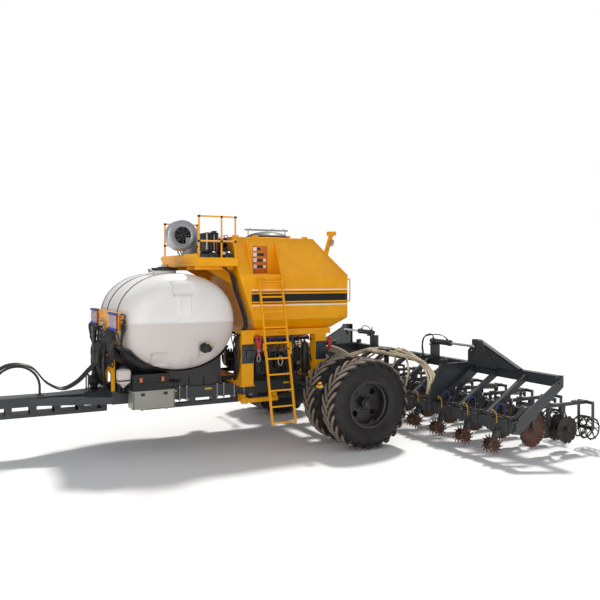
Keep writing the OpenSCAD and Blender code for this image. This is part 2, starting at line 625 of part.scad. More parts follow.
// Rings of the hopper from the outlet up: [height, front X, rear X, half width]
outlet = [hopper_front + 910, hopper_front + 1310, 200, hopper_base - 480];
hopper_rings = [[outlet[3], outlet[0], outlet[1], outlet[2]],
    [hopper_base, hopper_front + 460, hopper_rear - 330, beam_in - 15],
    [hopper_base, hopper_front + 410, hopper_rear - 280, hopper_w / 2 - 200],
    [band_z[0], hopper_front + 300, hopper_rear, hopper_w / 2],
    [band_z[1], hopper_front, hopper_rear, hopper_w / 2],
    [roof_z, hopper_front + 20, hopper_rear - 580, hopper_w / 2 - 450]];
module ring_body(rings) {
    m = len(rings);
    points = [for (q = rings) each [[q[1], -q[3], q[0]], [q[2], -q[3], q[0]], [q[2], q[3], q[0]],
        [q[1], q[3], q[0]]]];
    polyhedron(points, concat([[0, 1, 2, 3]],
        [for (j = [0:m - 2], i = [0:3]) [4 * j + (i + 1) % 4, 4 * j + i, 4 * j + 4 + i,
            4 * j + 4 + (i + 1) % 4]],
        [[4 * m - 1, 4 * m - 2, 4 * m - 3, 4 * m - 4]]));
}
t = hopper_wall;
inner_rings = [for (i = [0:5]) let (q = hopper_rings[i])
    [q[0] + (i == 0 ? -1 : i == 1 || i == 2 ? t * 1.2 : i == 5 ? -t : 0), q[1] + t * 1.2, q[2] - t * 1.2,
        q[3] - t * 1.2]];
hatch_x = (hopper_rings[5][1] + hopper_rings[5][2]) / 2 + 200;
collar_h = 60;
notch = [[hopper_front + 280, -hopper_w / 2 - 10, band_z[1]],
    [hopper_front + 900, -hopper_w / 2 + 330, band_z[1] + 600]];
module hopper_shell() color(YELLOW) {
    difference() {
        union() {
            difference() {
                ring_body(hopper_rings);
                ring_body(inner_rings);
            }
            intersection() {
                ring_body(hopper_rings);
                box(notch[0] - [t, 0, t], notch[1] + [t, t, 0]);
            }
            z_cyl(hatch_x, 0, roof_z - t, roof_z + collar_h, hatch_d / 2 + 12);
            cap_lugs();
        }
        box(notch[0], notch[1] + [0, 0, 100]);
        z_cyl(hatch_x, 0, roof_z - 60, roof_z + collar_h + 1, hatch_d / 2);
    }
}
cap_r = hatch_d / 2 + 25;
cap_hinge = hatch_x + cap_r + 40;
module hopper_lid() color(BLACK) {
    z = roof_z + collar_h + joint_gap;
    translate([hatch_x, 0, z]) rotate_extrude($fn = 96)
        polygon([[0, 0], [cap_r, 0], [cap_r, 30], [cap_r - 80, 90], [cap_r - 230, 125], [0, 140]]);
    // clamp bar over the lid, and the lid's hinge tongue
    box([hatch_x - cap_r - 60, -25, z + 150], [hatch_x + cap_r + 50, 25, z + 185]);
    for (p = [-cap_r + 12, 0, cap_r - 12]) z_cyl(hatch_x + p, 0, z + 20, z + 155, 12);
    difference() {
        union() {
            box([cap_hinge - 60, -45, z], [cap_hinge, 45, z + 30]);
            y_cyl(cap_hinge, z + 12, -45, 45, 28);
        }
        y_cyl(cap_hinge, z + 12, -50, 50, 14 + run_clear);
    }
}
module cap_lugs() {
    z = roof_z + collar_h + joint_gap;
    for (s = [-1, 1]) box([cap_hinge - 28, s * 60 - 12, roof_z], [cap_hinge + 28, s * 60 + 12, z + 40]);
    y_cyl(cap_hinge, z + 12, -72, 72, 14);
}

post_y = beam_in + post_w;
posts_x = [[hopper_front + 80, hopper_front + 80 + post_w],
    [hopper_rear - 710, hopper_rear - 710 + post_w]];
beam_h = 120;
module hopper_frame() color(YELLOW) {
    difference() {
        union() {
            sides() {
                box([posts_x[0][0], beam_in, hopper_base - beam_h],
                    [posts_x[1][1] + 100, post_y, hopper_base]);
                for (p = posts_x) box([p[0], beam_in, rail_top], [p[1], post_y, hopper_base - beam_h]);
            }
            for (p = posts_x) box([p[0], -post_y, rail_top], [p[1], post_y, rail_top + 100]);
        }
        sides() for (p = posts_x) box([p[0] + 10, beam_in + 10, rail_top + 110],
            [p[1] - 10, post_y - 10, hopper_base - beam_h - 10]);
    }
}
module meter_box() color(STEEL) {
    box([outlet[0] - 40, -outlet[2] - 40, outlet[3] - 20], [outlet[1] + 40, outlet[2] + 40, outlet[3]]);
    box([outlet[0], -outlet[2], outlet[3] - 340], [outlet[1], outlet[2], outlet[3] - 20]);
    y_cyl((outlet[0] + outlet[1]) / 2, outlet[3] - 200, -outlet[2] - 90, outlet[2] + 90, 70);
    x_cyl(0, outlet[3] - 420, outlet[0] - 250, outlet[1] + 250, 80);
}

// ---- Platform, fan and air supply ----
deck_x = [hopper_front - 820, hopper_front - 20];
deck_z = band_z[1] + 170;
deck_t = 60;
deck_y = 1190;
rail_r = 17;
rail_z = deck_z + 940;
deck_stay = 640;
front_slope = 300 / band_h;   // of the hopper's front face
module platform() color(YELLOW) {
    box([deck_x[0], -deck_y, deck_z], [deck_x[1], deck_y, deck_z + deck_t]);
    for (s = [-1, 1]) xz_plate([[hopper_front + 180 * front_slope - 1, band_z[1] - 180],
        [hopper_front, band_z[1]], [deck_x[1], deck_z + 2],
        [deck_x[0] + 260, deck_z + 2], [deck_x[0] + 260, deck_z - 20]], s * deck_stay - 10,
            s * deck_stay + 10);
    // turned-up lip at the front
    xz_plate([[deck_x[0] - 60, deck_z + 190], [deck_x[0] - 20, deck_z + 230], [deck_x[0] + 60, deck_z + 40],
        [deck_x[0] + 60, deck_z], [deck_x[0] + 20, deck_z]], -deck_y, deck_y);
    near = [[deck_x[0] + 30, -deck_y + 40], [deck_x[0] + 480, -deck_y + 40],
        [deck_x[1] - 40, -deck_y + 40]];
    far = [[deck_x[0] + 30, deck_y - 40], [deck_x[1] - 40, deck_y - 40]];
    for (q = [near, far]) for (i = [0:len(q) - 1]) {
        z_cyl(q[i][0], q[i][1], deck_z + deck_t, rail_z, rail_r);
        if (i > 0) for (z = [rail_z, (rail_z + deck_z) / 2])
            rod([q[i - 1][0], q[i - 1][1], z], [q[i][0], q[i][1], z], rail_r);
        translate([q[i][0], q[i][1], rail_z]) sphere(r = rail_r, $fn = 24);
    }
}
deck_top = deck_z + deck_t;
fan_x = deck_x[0] + 40;
fan_z = deck_top + 565;
fan_r = 305;
fan_y = [-130, 130];
shaft_r = 20;
module fan_housing() color(STEEL) {
    difference() {
        union() {
            y_cyl(fan_x, fan_z, fan_y[0], fan_y[1], fan_r);
            box([fan_x + 60, fan_y[0] + 10, deck_top], [fan_x + fan_r, fan_y[1] - 10, fan_z - 60]);
        }
        y_cyl(fan_x, fan_z, fan_y[0] + 6, fan_y[1] - 6, fan_r - 6);
        box([fan_x + 66, fan_y[0] + 16, deck_top - 1], [fan_x + fan_r - 6, fan_y[1] - 16, fan_z - 66]);
        y_cyl(fan_x, fan_z, fan_y[0] - 10, fan_y[0] + 10, 170);
        y_cyl(fan_x, fan_z, fan_y[1] - 20, fan_y[1] + 10, shaft_r + run_clear);
    }
    for (t = [-1, 1]) box([fan_x + 150 + t * 60 - 25, fan_y[1] - 10, deck_top],
        [fan_x + 150 + t * 60 + 25, fan_y[1], fan_z - 150]);
}
module fan_rotor() color(GRAPHITE) {
    y_cyl(fan_x, fan_z, fan_y[0] + 20, fan_y[1] + 60, shaft_r);
    y_cyl(fan_x, fan_z, fan_y[1] - 30, fan_y[1] - 24, 250);
    y_cyl(fan_x, fan_z, fan_y[0] + 20, fan_y[1] - 30, 60);
    for (i = [0:9]) translate([fan_x, 0, fan_z]) rotate([0, i * 36, 0])
        box([55, fan_y[0] + 40, -4], [245, fan_y[1] - 24, 4]);
}
air_r = 108;
air_x = [deck_x[0] + 390, deck_x[0] + 700];
air_y = [-1020, fan_y[0] - 20];
module compressor() color(BLACK) {
    for (x = air_x) {
        y_cyl(x, deck_top + air_r + 8, air_y[0], air_y[1], air_r);
        for (y = [air_y[0] + 120, air_y[1] - 160])
            box([x - 60, y, deck_top], [x + 60, y + 40, deck_top + 60]);
    }
    z = deck_top + 2 * air_r + 6;
    box([air_x[0] - 60, air_y[0] + 200, z - 12], [air_x[1] + 60, air_y[1] - 120, z + 14]);
    // motor, pump block and oil cooler
    x_cyl(air_y[0] + 380, z + 150, air_x[0] - 40, air_x[0] + 190, 110);
    box([air_x[0] - 20, air_y[0] + 300, z + 10], [air_x[0] + 160, air_y[0] + 460, z + 60]);
    box([air_x[0] + 200, air_y[0] + 280, z + 10], [air_x[0] + 330, air_y[0] + 480, z + 380]);
    box([air_x[0] - 60, air_y[0] + 560, z + 10], [air_x[0] + 200, air_y[0] + 660, z + 420]);
}

lamp_x = -tyre_d / 2 - 130;
lamp_z = rail_top + 65;
module marker_lamps() color(YELLOW) for (s = [-1, 1]) {
    y = s * outer_y;
    box([lamp_x - 20, s > 0 ? post_y : -outer_y - 60, lamp_z - 40],
        [lamp_x + 20, s > 0 ? outer_y + 60 : -post_y, lamp_z]);
    box([lamp_x - 50, y - 60, lamp_z], [lamp_x + 50, y + 60, lamp_z + 100]);
    box([lamp_x - 20, s * post_y - 20, lamp_z - 40], [lamp_x + 20, s * post_y + 20, hopper_base - beam_h]);
}

module rear_mast() color(YELLOW) {
    xz_plate([[hopper_rear, band_z[1] - 420], [hopper_rear + 80, band_z[1] - 380],
        [hopper_rear + 210, band_z[1] + 500],
        [hopper_rear + 330, band_z[1] + 880], [hopper_rear + 260, band_z[1] + 900],
            [hopper_rear + 130, band_z[1] + 510],
        [hopper_rear, band_z[1] - 60]], -40, 40);
    box([hopper_rear + 230, -90, band_z[1] + 890], [hopper_rear + 380, 90, band_z[1] + 980]);
}

// ---- Ladder: drawn upright about its fold, then leaned ----
ladder_x = hopper_front + 635;
fold_y = -hopper_w / 2 - 360;
fold_z = hopper_base - 340;
lrail = [30, 50];
hinge_y = -45;
ladder_pin = 12;
module ladder_place() translate([ladder_x, fold_y, fold_z]) rotate([-ladder_lean, 0, 0]) children();
module rungs(z0, n, dir) for (i = [0:n - 1]) translate([-ladder_w / 2, -25, z0 + dir * i * rung_pitch - 14])
    cube([ladder_w, 50, 28]);
module ladder_upper() color(YELLOW) {
    top = 120 + (upper_rungs - 1) * rung_pitch + 80;
    ladder_place() {
        for (t = [-1, 1]) {
            translate([t * ladder_w / 2 - lrail[0] / 2, -lrail[1] / 2, 10]) cube([lrail[0], lrail[1], top]);
            mirror([t < 0 ? 1 : 0, 0, 0]) {
                box([ladder_w / 2, -10, 50], [ladder_w / 2 + 43, 25, 120]);
                box([ladder_w / 2 + 31, hinge_y - 22, -22], [ladder_w / 2 + 43, 25, 120]);
                x_cyl(hinge_y, 0, ladder_w / 2 + 12, ladder_w / 2 + 50, ladder_pin);
            }
        }
        rungs(120, upper_rungs, 1);
    }
    // stays to the hopper's frame and side
    for (t = [-1, 1]) {
        x = ladder_x + t * ladder_w / 2;
        z = hopper_base - beam_h / 2;
        box([x - 12, fold_y + (z - fold_z) * tan(ladder_lean), z - 25], [x + 12, -post_y, z + 25]);
        box([x - 12, fold_y + (band_z[1] - 260 - fold_z) * tan(ladder_lean), band_z[1] - 280],
            [x + 12, -hopper_w / 2, band_z[1] - 240]);
    }
}
module ladder_lower() color(YELLOW) ladder_place() {
    length = 180 + (lower_rungs - 1) * rung_pitch + 40;
    difference() {
        for (t = [-1, 1]) {
            translate([t * ladder_w / 2 - lrail[0] / 2, -lrail[1] / 2, -length])
                cube([lrail[0], lrail[1], length - 20]);
            mirror([t < 0 ? 1 : 0, 0, 0]) {
                box([ladder_w / 2, hinge_y - 15, -110], [ladder_w / 2 + 29, 20, -40]);
                box([ladder_w / 2 + 17, hinge_y - 20, -110], [ladder_w / 2 + 29, hinge_y + 20, 20]);
            }
        }
        x_cyl(hinge_y, 0, -ladder_w, ladder_w, ladder_pin + run_clear);
    }
    rungs(-180, lower_rungs, -1);
}

// ---- Lift linkage: two pairs of parallel arms ----
module arms(z) for (s = [-1, 1]) difference() {
    y = s * arm_y;
    union() {
        box([arm_x0, y - arm_w / 2, z - 45], [arm_x1, y + arm_w / 2, z + 45]);
        for (x = [arm_x0, arm_x1]) y_cyl(x, z, y - arm_w / 2, y + arm_w / 2, 50);
    }
    for (x = [arm_x0, arm_x1]) y_cyl(x, z, y - arm_w, y + arm_w, pin_fit);
}
module lower_arms() color(YELLOW) arms(arm_z);
module upper_arms() color(YELLOW) arms(arm_z_top);

// ---- Toolbar ----
half_width = centre_half + wing_rows * row_pitch;
rear_bar_x = bar_x + bar_reach;
fold_axis_z = rear_bar_z + bar_h + pin_r + 35;
centre_ys = [for (i = [0:centre_rows - 1]) (i - (centre_rows - 1) / 2) * row_pitch];
wing_ys = [for (i = [0:wing_rows - 1]) centre_half + (i + 0.5) * row_pitch];
float_x = bar_x + bar_d + 90;
float_z = bar_z + bar_h / 2;
float_w = 60;
clean_x = bar_x - 130;
clean_z = cleaner_r + 160;
module beams(y0, y1) {
    box([bar_x, y0, bar_z], [bar_x + bar_d, y1, bar_z + bar_h]);
    box([rear_bar_x, y0, rear_bar_z], [rear_bar_x + bar_d, y1, rear_bar_z + bar_h]);
}
module slant(y) xz_plate([[bar_x + 20, bar_z + bar_h - 5], [bar_x + bar_d - 20, bar_z + bar_h - 5],
    [rear_bar_x + 5, rear_bar_z + 20], [rear_bar_x + 5, rear_bar_z + 150]], y - 40, y + 40);
// Plate where two sections meet, reaching up to the fold axis
module fold_plate(y0, y1) xz_plate([[bar_x - 20, bar_z - 20], [bar_x + bar_d + 40, bar_z - 20],
    [rear_bar_x + bar_d + 20, rear_bar_z - 20], [rear_bar_x + bar_d + 20, rear_bar_z + bar_h + 10],
    [bar_x + 260, rear_bar_z + bar_h + 10], [bar_x - 20, bar_z + bar_h + 160]], y0, y1);
// The row's brackets: a lug pair for its floating arm and the arms of its cleaners
module row_brackets(y) {
    lug_pair(y, float_w, [[bar_x + bar_d - 2, bar_z + 10], [float_x + 40, float_z - 40],
        [float_x + 40, float_z + 40],
        [bar_x + bar_d - 2, bar_z + bar_h - 10]]);
    y_cyl(float_x, float_z, y - float_w / 2 - 20, y + float_w / 2 + 20, 20);
    for (t = [-1, 1]) xz_plate([[clean_x - 30, clean_z - 30], [clean_x + 30, clean_z - 30],
        [bar_x + 50, bar_z + 1],
        [bar_x + 50, bar_z + 80], [bar_x - 20, bar_z + 80]], y + t * 40 - 10, y + t * 40 + 10);
    y_cyl(clean_x, clean_z, y - 135, y + 135, 16);
}
fold_lugs_x = [bar_x + 320, rear_bar_x + 60];
fold_pin_r = pin_r;
cyl_x = rear_bar_x - 160;
cyl_z = fold_axis_z + 300;
cyl_reach = 300;
module toolbar_center() color(GRAPHITE) {
    beams(-centre_half + 20, centre_half - 20);
    for (k = [-3:3]) if (abs(k) < centre_rows / 2) slant(k * row_pitch + (abs(k) == 1 ? sign(k) * 115 : 0));
    sides() {
        fold_plate(centre_half - 32, centre_half - 2);
        // knuckles of the fold, with its pin
        for (x = fold_lugs_x) {
            box([x - 30, centre_half - 60, fold_axis_z - 70], [x + 30, centre_half - 2, fold_axis_z - 30]);
            box([x - 30, centre_half - 60, fold_axis_z - 40], [x + 30, centre_half - 30, fold_axis_z + 30]);
            x_cyl(centre_half, fold_axis_z, x - 30, x + 100, fold_pin_r);
            box([x - 30, centre_half - 35, fold_axis_z - 29], [x + 30, centre_half + 25, fold_axis_z + 29]);
        }
        // bracket that carries the fold cylinder
        y = barrel_y[0] + 30;
        box([cyl_x - 60, y, rear_bar_z + bar_h - 20], [rear_bar_x + 20, y + 40, cyl_z - 70]);
        box([cyl_x - 60, y + 40, cyl_z - 90], [cyl_x + 60, y + 190, cyl_z - 61]);
        box([cyl_x - 60, y - 50, cyl_z - 90], [cyl_x + 60, y + 40, cyl_z - 61]);
    }
    for (y = centre_ys) row_brackets(y);
    // towers for the lift arms
    for (s = [-1, 1]) {
        lug_pair(s * arm_y, arm_w, [[arm_x1 - 60, arm_z - 60], [bar_x + bar_d, bar_z + 20],
            [bar_x + bar_d, bar_z + bar_h],
            [arm_x1 + 60, arm_z_top + 60], [arm_x1 - 60, arm_z_top + 60]]);
        for (z = [arm_z, arm_z_top]) y_cyl(arm_x1, z, s * arm_y - arm_w / 2 - 40,
            s * arm_y + arm_w / 2 + 40, pin_r);
    }
}
module wing() color(GRAPHITE) {
    beams(centre_half + 20, half_width - 20);
    for (k = [1:wing_rows - 1]) slant(centre_half + k * row_pitch);
    slant(centre_half + 110);
    difference() {
        union() {
            fold_plate(centre_half + 2, centre_half + 32);
            for (x = fold_lugs_x) {
                box([x + 32, centre_half + 2, fold_axis_z - 70],
                    [x + 92, centre_half + 32, fold_axis_z + 20]);
                x_cyl(centre_half, fold_axis_z, x + 32, x + 92, fold_pin_r + 22);
            }
            // lever that the fold cylinder pulls
            yz_plate([[centre_half + 60, rear_bar_z + bar_h - 10],
                [centre_half + 900, rear_bar_z + bar_h - 10],
                [centre_half + cyl_reach + 160, cyl_z + 130], [centre_half + cyl_reach - 10, cyl_z + 135],
                [centre_half + 60, cyl_z - 100]], cyl_x + 30, cyl_x + 60);
            box([cyl_x + 30, centre_half + 60, rear_bar_z + bar_h - 30],
                [rear_bar_x + 40, centre_half + 900, rear_bar_z + bar_h]);
        }
        for (x = fold_lugs_x) x_cyl(centre_half, fold_axis_z, x - 40, x + 110, fold_pin_r + run_clear);
        // slot for the cylinder's pin, along the line to the fold axis
        translate([cyl_x, centre_half, fold_axis_z]) rotate([45, 0, 0]) {
            box([20, 240, -46], [70, 470, 46]);
        }
    }
    xz_plate([[bar_x - 10, bar_z], [bar_x + bar_d, bar_z - 20], [rear_bar_x + bar_d + 20, rear_bar_z - 10],
        [rear_bar_x + bar_d + 20, rear_bar_z + bar_h + 5], [bar_x + bar_d, bar_z + bar_h + 60]],
        half_width - 20, half_width);
    for (y = wing_ys) row_brackets(y);
}
module wing_right() wing();
module wing_left() scale_y(-1) wing();

barrel_r = 60;
barrel_y = [centre_half - 1106, centre_half - 446];
rod_r = 28;
module fold_barrels() color(BLACK) sides() difference() {
    y_cyl(cyl_x, cyl_z, barrel_y[0], barrel_y[1], barrel_r);
    y_cyl(cyl_x, cyl_z, barrel_y[0] + 20, barrel_y[1] - 30, barrel_r - 10);
    y_cyl(cyl_x, cyl_z, barrel_y[1] - 40, barrel_y[1] + 1, rod_r + run_clear);
}
module fold_rod() color(STEEL) {
    y1 = centre_half + cyl_reach;
    y_cyl(cyl_x, cyl_z, barrel_y[1] - 35, y1, rod_r);
    x_cyl(y1, cyl_z, cyl_x - 20, cyl_x + 80, 18);
}
module rod_right() fold_rod();
module rod_left() scale_y(-1) fold_rod();

// ---- Row units ----
coulter_x = bar_x + 840;
coulter_z = coulter_r + 160;
closer_x = bar_x + 1600;
closer_r = 260;
closer_z = closer_r + 170;
basket_w = 300;
basket_z = basket_r + 160;
beam_top = coulter_z + coulter_r + 110;
tool_pin = 18;
module row_arm(y) {
    h = float_w / 2;
    difference() {
        union() {
            y_cyl(float_x, float_z, y - h, y + h, 38);
            xz_plate([[float_x - 20, float_z - 30], [float_x + 20, float_z - 30],
                [coulter_x - 200, beam_top - 60],
                [basket_x + 40, beam_top - 60], [basket_x + 40, beam_top], [coulter_x - 220, beam_top],
                [float_x - 20, float_z + 30]], y - h, y + h);
        }
        y_cyl(float_x, float_z, y - h - 1, y + h + 1, 20 + run_clear);
    }
    // coulter fork and its pin
    for (t = [-1, 1]) box([coulter_x - 35, y + t * 36 - 6, coulter_z - 30],
        [coulter_x + 35, y + t * 36 + 6, beam_top - 10]);
    y_cyl(coulter_x, coulter_z, y - 50, y + 50, tool_pin);
    // leg of the closing discs
    box([closer_x - 30, y - 25, closer_z - 30], [closer_x + 30, y + 25, beam_top - 50]);
    y_cyl(closer_x, closer_z, y - 165, y + 165, tool_pin);
    // yoke of the rolling basket
    box([basket_x - 35, y - basket_w / 2 - 20, beam_top - 55],
        [basket_x + 35, y + basket_w / 2 + 20, beam_top - 5]);
    for (t = [-1, 1]) box([basket_x - 35, y + t * (basket_w / 2 + 14) - 6, basket_z - 30],
        [basket_x + 35, y + t * (basket_w / 2 + 14) + 6, beam_top - 10]);
    y_cyl(basket_x, basket_z, y - basket_w / 2 - 20, y + basket_w / 2 + 20, tool_pin);
}
module cleaner(y) difference() {
    union() for (t = [-1, 1]) translate([clean_x, y + t * 95, clean_z]) rotate([90, 0, 0])
        translate([0, 0, -6])
        linear_extrude(12) polygon([for (i = [0:23]) let (a = i * 15,
            r = i % 2 == 0 ? cleaner_r : cleaner_r * 0.66) [r * cos(a), r * sin(a)]]);
    y_cyl(clean_x, clean_z, y - 150, y + 150, 16 + run_clear);
}
module coulter(y) difference() {
    union() {
        y_cyl(coulter_x, coulter_z, y - 4, y + 4, coulter_r);
        y_cyl(coulter_x, coulter_z, y - 28, y + 28, 42);
    }
    y_cyl(coulter_x, coulter_z, y - 60, y + 60, tool_pin + run_clear);
}
module closer(y) difference() {
    union() for (t = [-1, 1]) {
        y_cyl(closer_x, closer_z, y + t * 110 - 4, y + t * 110 + 4, closer_r);
        y_cyl(closer_x, closer_z, y + t * 110 - 25, y + t * 110 + 25, 42);
    }
    y_cyl(closer_x, closer_z, y - 200, y + 200, tool_pin + run_clear);
}
basket_bars = 10;
module basket(y) difference() {
    union() {
        for (t = [-1, 0, 1]) y_cyl(basket_x, basket_z, y + t * (basket_w / 2 - 6) - 5,
            y + t * (basket_w / 2 - 6) + 5, basket_r - 24);
        y_cyl(basket_x, basket_z, y - basket_w / 2 + 2, y + basket_w / 2 - 2, 40);
        for (i = [0:basket_bars - 1]) y_cyl(basket_x + (basket_r - 14) * cos(i * 36),
            basket_z + (basket_r - 14) * sin(i * 36),
            y - basket_w / 2 + 1, y + basket_w / 2 - 1, 14);
    }
    y_cyl(basket_x, basket_z, y - 200, y + 200, tool_pin + run_clear);
}
module row_arms_center() color(GRAPHITE) for (y = centre_ys) row_arm(y);
module row_arms_left() color(GRAPHITE) for (y = wing_ys) row_arm(-y);
module row_arms_right() color(GRAPHITE) for (y = wing_ys) row_arm(y);
module cleaners_center() color(RUST) for (y = centre_ys) cleaner(y);
module cleaners_left() color(RUST) for (y = wing_ys) cleaner(-y);
module cleaners_right() color(RUST) for (y = wing_ys) cleaner(y);
module coulters_center() color(RUST) for (y = centre_ys) coulter(y);
module coulters_left() color(RUST) for (y = wing_ys) coulter(-y);
module coulters_right() color(RUST) for (y = wing_ys) coulter(y);
module closers_center() color(BLACK) for (y = centre_ys) closer(y);
module closers_left() color(BLACK) for (y = wing_ys) closer(-y);
module closers_right() color(BLACK) for (y = wing_ys) closer(y);
module baskets_center() color(BLACK) for (y = centre_ys) basket(y);
module baskets_left() color(BLACK) for (y = wing_ys) basket(-y);
module baskets_right() color(BLACK) for (y = wing_ys) basket(y);

place() tongue();
place() hitch_clevis();
place() jack_tube();
place() jack_leg();
place() main_frame();
place() hose_hoop();
place() hose_bundle();
place() tank_cradle();
place() liquid_tank();
place() tank_lid();
place() tank_valve();
place() valve_handle();
place() rinse_tank();
place() toolbox_bin();
place() toolbox_lid();
place() side_cabinet();
place() cabinet_door();
place() manifold_plate();
place() flow_tubes();
place() product_pump();
place() hopper_shell();
place() hopper_frame();
place() hopper_lid();
place() platform();
place() ladder_upper();
place() ladder_lower();
place() fan_housing();
place() fan_rotor();
place() compressor();
place() meter_box();
place() axle_beam();
place() rims_left();
place() tyres_left();
place() rims_right();
place() tyres_right();
place() marker_lamps();
place() rear_mast();
place() lower_arms();
place() upper_arms();
place() toolbar_center();
place() wing_left();
place() wing_right();
place() fold_barrels();
place() rod_left();
place() rod_right();
place() row_arms_center();
place() row_arms_left();
place() row_arms_right();
place() cleaners_center();
place() cleaners_left();
place() cleaners_right();
place() coulters_center();
place() coulters_left();
place() coulters_right();
place() closers_center();
place() closers_left();
place() closers_right();
place() baskets_center();
place() baskets_left();
place() baskets_right();
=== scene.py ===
# %% [markdown]
# # A trailed nutrient cart with a strip-till toolbar
# The cart's frame comes from a imported CAD model, in metres. We load it first, because every piece
# we make has to sit on one of its bodies and move with it.

# %% Load the frame
from math import copysign, cos, pi, radians, sin, tau
import bmesh
import bpy
from mathutils import Matrix, Vector


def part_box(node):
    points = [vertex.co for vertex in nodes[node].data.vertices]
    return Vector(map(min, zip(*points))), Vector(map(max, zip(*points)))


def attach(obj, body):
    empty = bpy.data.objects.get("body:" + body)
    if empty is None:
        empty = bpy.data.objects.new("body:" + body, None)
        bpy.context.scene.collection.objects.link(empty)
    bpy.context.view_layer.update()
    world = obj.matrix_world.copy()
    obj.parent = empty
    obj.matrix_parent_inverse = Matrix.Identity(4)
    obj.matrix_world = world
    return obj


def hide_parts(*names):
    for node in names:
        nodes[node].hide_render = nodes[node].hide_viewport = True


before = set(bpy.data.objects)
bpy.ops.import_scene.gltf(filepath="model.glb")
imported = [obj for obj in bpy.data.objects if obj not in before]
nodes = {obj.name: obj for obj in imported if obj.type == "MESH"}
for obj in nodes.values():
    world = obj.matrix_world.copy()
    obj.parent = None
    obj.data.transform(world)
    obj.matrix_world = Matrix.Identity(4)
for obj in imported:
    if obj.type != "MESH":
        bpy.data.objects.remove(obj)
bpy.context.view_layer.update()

# %% [markdown]
# ## The drawing's own X
# The machine is easiest to describe with X = 0 at the axle. The row frame has its origin under the
# middle of the footprint instead, so one helper turns a place on the machine into the row frame.

# %% Places
AXLE_X = sum(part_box("axle_beam")[i][0] for i in (0, 1)) / 2
def at(x, y, z):
    return Vector((x + AXLE_X, y, z))
print("axle at", round(AXLE_X, 4))

# %% [markdown]
# ## Camera, light and floor
# The machine is looked at from its left side, a little from the front, from just above head
# height, which is how such a machine is shown in a yard. A high, wide sun, pale haze and one large
# fill lamp stand in for an open sky. The floor is plain and pale, so nothing competes with the paint.

# %% Camera, lamps, floor
def camera():
    lens = bpy.data.cameras.new("camera")
    lens.sensor_width = 36.0
    lens.lens = 40.8
    lens.shift_y = -0.04
    lens.clip_end = 200.0
    holder = bpy.data.objects.new("camera", lens)
    holder.location = at(-7.046, -13.36, 3.3)
    holder.rotation_euler = (radians(90.0), 0.0, radians(-27.0))
    bpy.context.scene.collection.objects.link(holder)
    bpy.context.scene.camera = holder

def lamp(name, place, aim, size, power, colour=(1.0, 1.0, 1.0)):
    light = bpy.data.lights.new(name, "AREA")
    light.shape = "DISK"
    light.size = size
    light.energy = power
    light.color = colour
    holder = bpy.data.objects.new(name, light)
    holder.location = place
    holder.rotation_euler = (Vector(aim) - Vector(place)).to_track_quat("-Z", "Y").to_euler()
    bpy.context.scene.collection.objects.link(holder)

def surroundings():
    """Bright haze seen behind the machine, weaker haze as light, a high soft sun from behind."""
    world = bpy.data.worlds.new("pale_room")
    bpy.context.scene.world = world
    world.use_nodes = True
    tree = world.node_tree
    haze = tree.nodes["Background"]
    haze.inputs["Color"].default_value = (0.95, 0.97, 1.0, 1.0)
    haze.inputs["Strength"].default_value = 0.5
    bright = tree.nodes.new("ShaderNodeBackground")
    bright.inputs["Color"].default_value = (1.0, 1.0, 1.0, 1.0)
    both = tree.nodes.new("ShaderNodeMixShader")
    rays = tree.nodes.new("ShaderNodeLightPath")
    tree.links.new(rays.outputs["Is Camera Ray"], both.inputs[0])
    tree.links.new(haze.outputs[0], both.inputs[1])
    tree.links.new(bright.outputs[0], both.inputs[2])
    tree.links.new(both.outputs[0], tree.nodes["World Output"].inputs["Surface"])
    sun = bpy.data.lights.new("sun", "SUN")
    sun.energy = 3.0
    sun.angle = radians(7.0)
    sun.color = (1.0, 0.975, 0.94)
    holder = bpy.data.objects.new("sun", sun)
    holder.rotation_euler = Vector((0.35, 0.42, 0.85)).to_track_quat("Z", "Y").to_euler()
    bpy.context.scene.collection.objects.link(holder)
    lamp("fill", (-12.0, -16.0, 7.0), (0.0, 0.0, 1.5), 9.0, 650.0)
    bpy.context.scene.view_settings.view_transform = "Standard"
    mesh = bpy.data.meshes.new("floor")
    far = 90.0
    mesh.from_pydata([(-far, -far, 0.0), (far, -far, 0.0), (far, far, 0.0), (-far, far, 0.0)], [],
        [(0, 1, 2, 3)])
    floor = bpy.data.objects.new("floor", mesh)
    bpy.context.scene.collection.objects.link(floor)
    return floor
camera()
floor = surroundings()
print("camera at", tuple(round(v, 2) for v in bpy.context.scene.camera.location))

# %% [markdown]
# ## Shader maths
# A finish is a sum of masks: dust, wear, grain. Written node by node that is hard to read, so one
# small class wraps a socket, and Python's own operators add the Math nodes.

# %% A socket that does arithmetic
class Wire:
    def __init__(self, sheet, socket):
        self.sheet, self.socket = sheet, socket
    def _math(self, operation, *values):
        return self.sheet.node("ShaderNodeMath", {"operation": operation}, *values)
    def __add__(self, o):
        return self._math("ADD", self, o)
    __radd__ = __add__
    def __mul__(self, o):
        return self._math("MULTIPLY", self, o)
    __rmul__ = __mul__
    def __sub__(self, o):
        return self._math("SUBTRACT", self, o)
    def __rsub__(self, o):
        return self._math("SUBTRACT", o, self)
    def __truediv__(self, o):
        return self._math("DIVIDE", self, o)
    def __gt__(self, o):
        return self._math("GREATER_THAN", self, o)
    def __lt__(self, o):
        return self._math("LESS_THAN", self, o)
    def power(self, o):
        return self._math("POWER", self, o)
    def sine(self):
        return self._math("SINE", self)
    def clamp(self):
        return self.sheet.node("ShaderNodeClamp", {}, self)
    def step(self, low, high):
        """0 below low, 1 above high, smooth between them."""
        return self.sheet.node("ShaderNodeMapRange", {"interpolation_type": "SMOOTHSTEP"}, self, low,
            high, 0.0, 1.0)

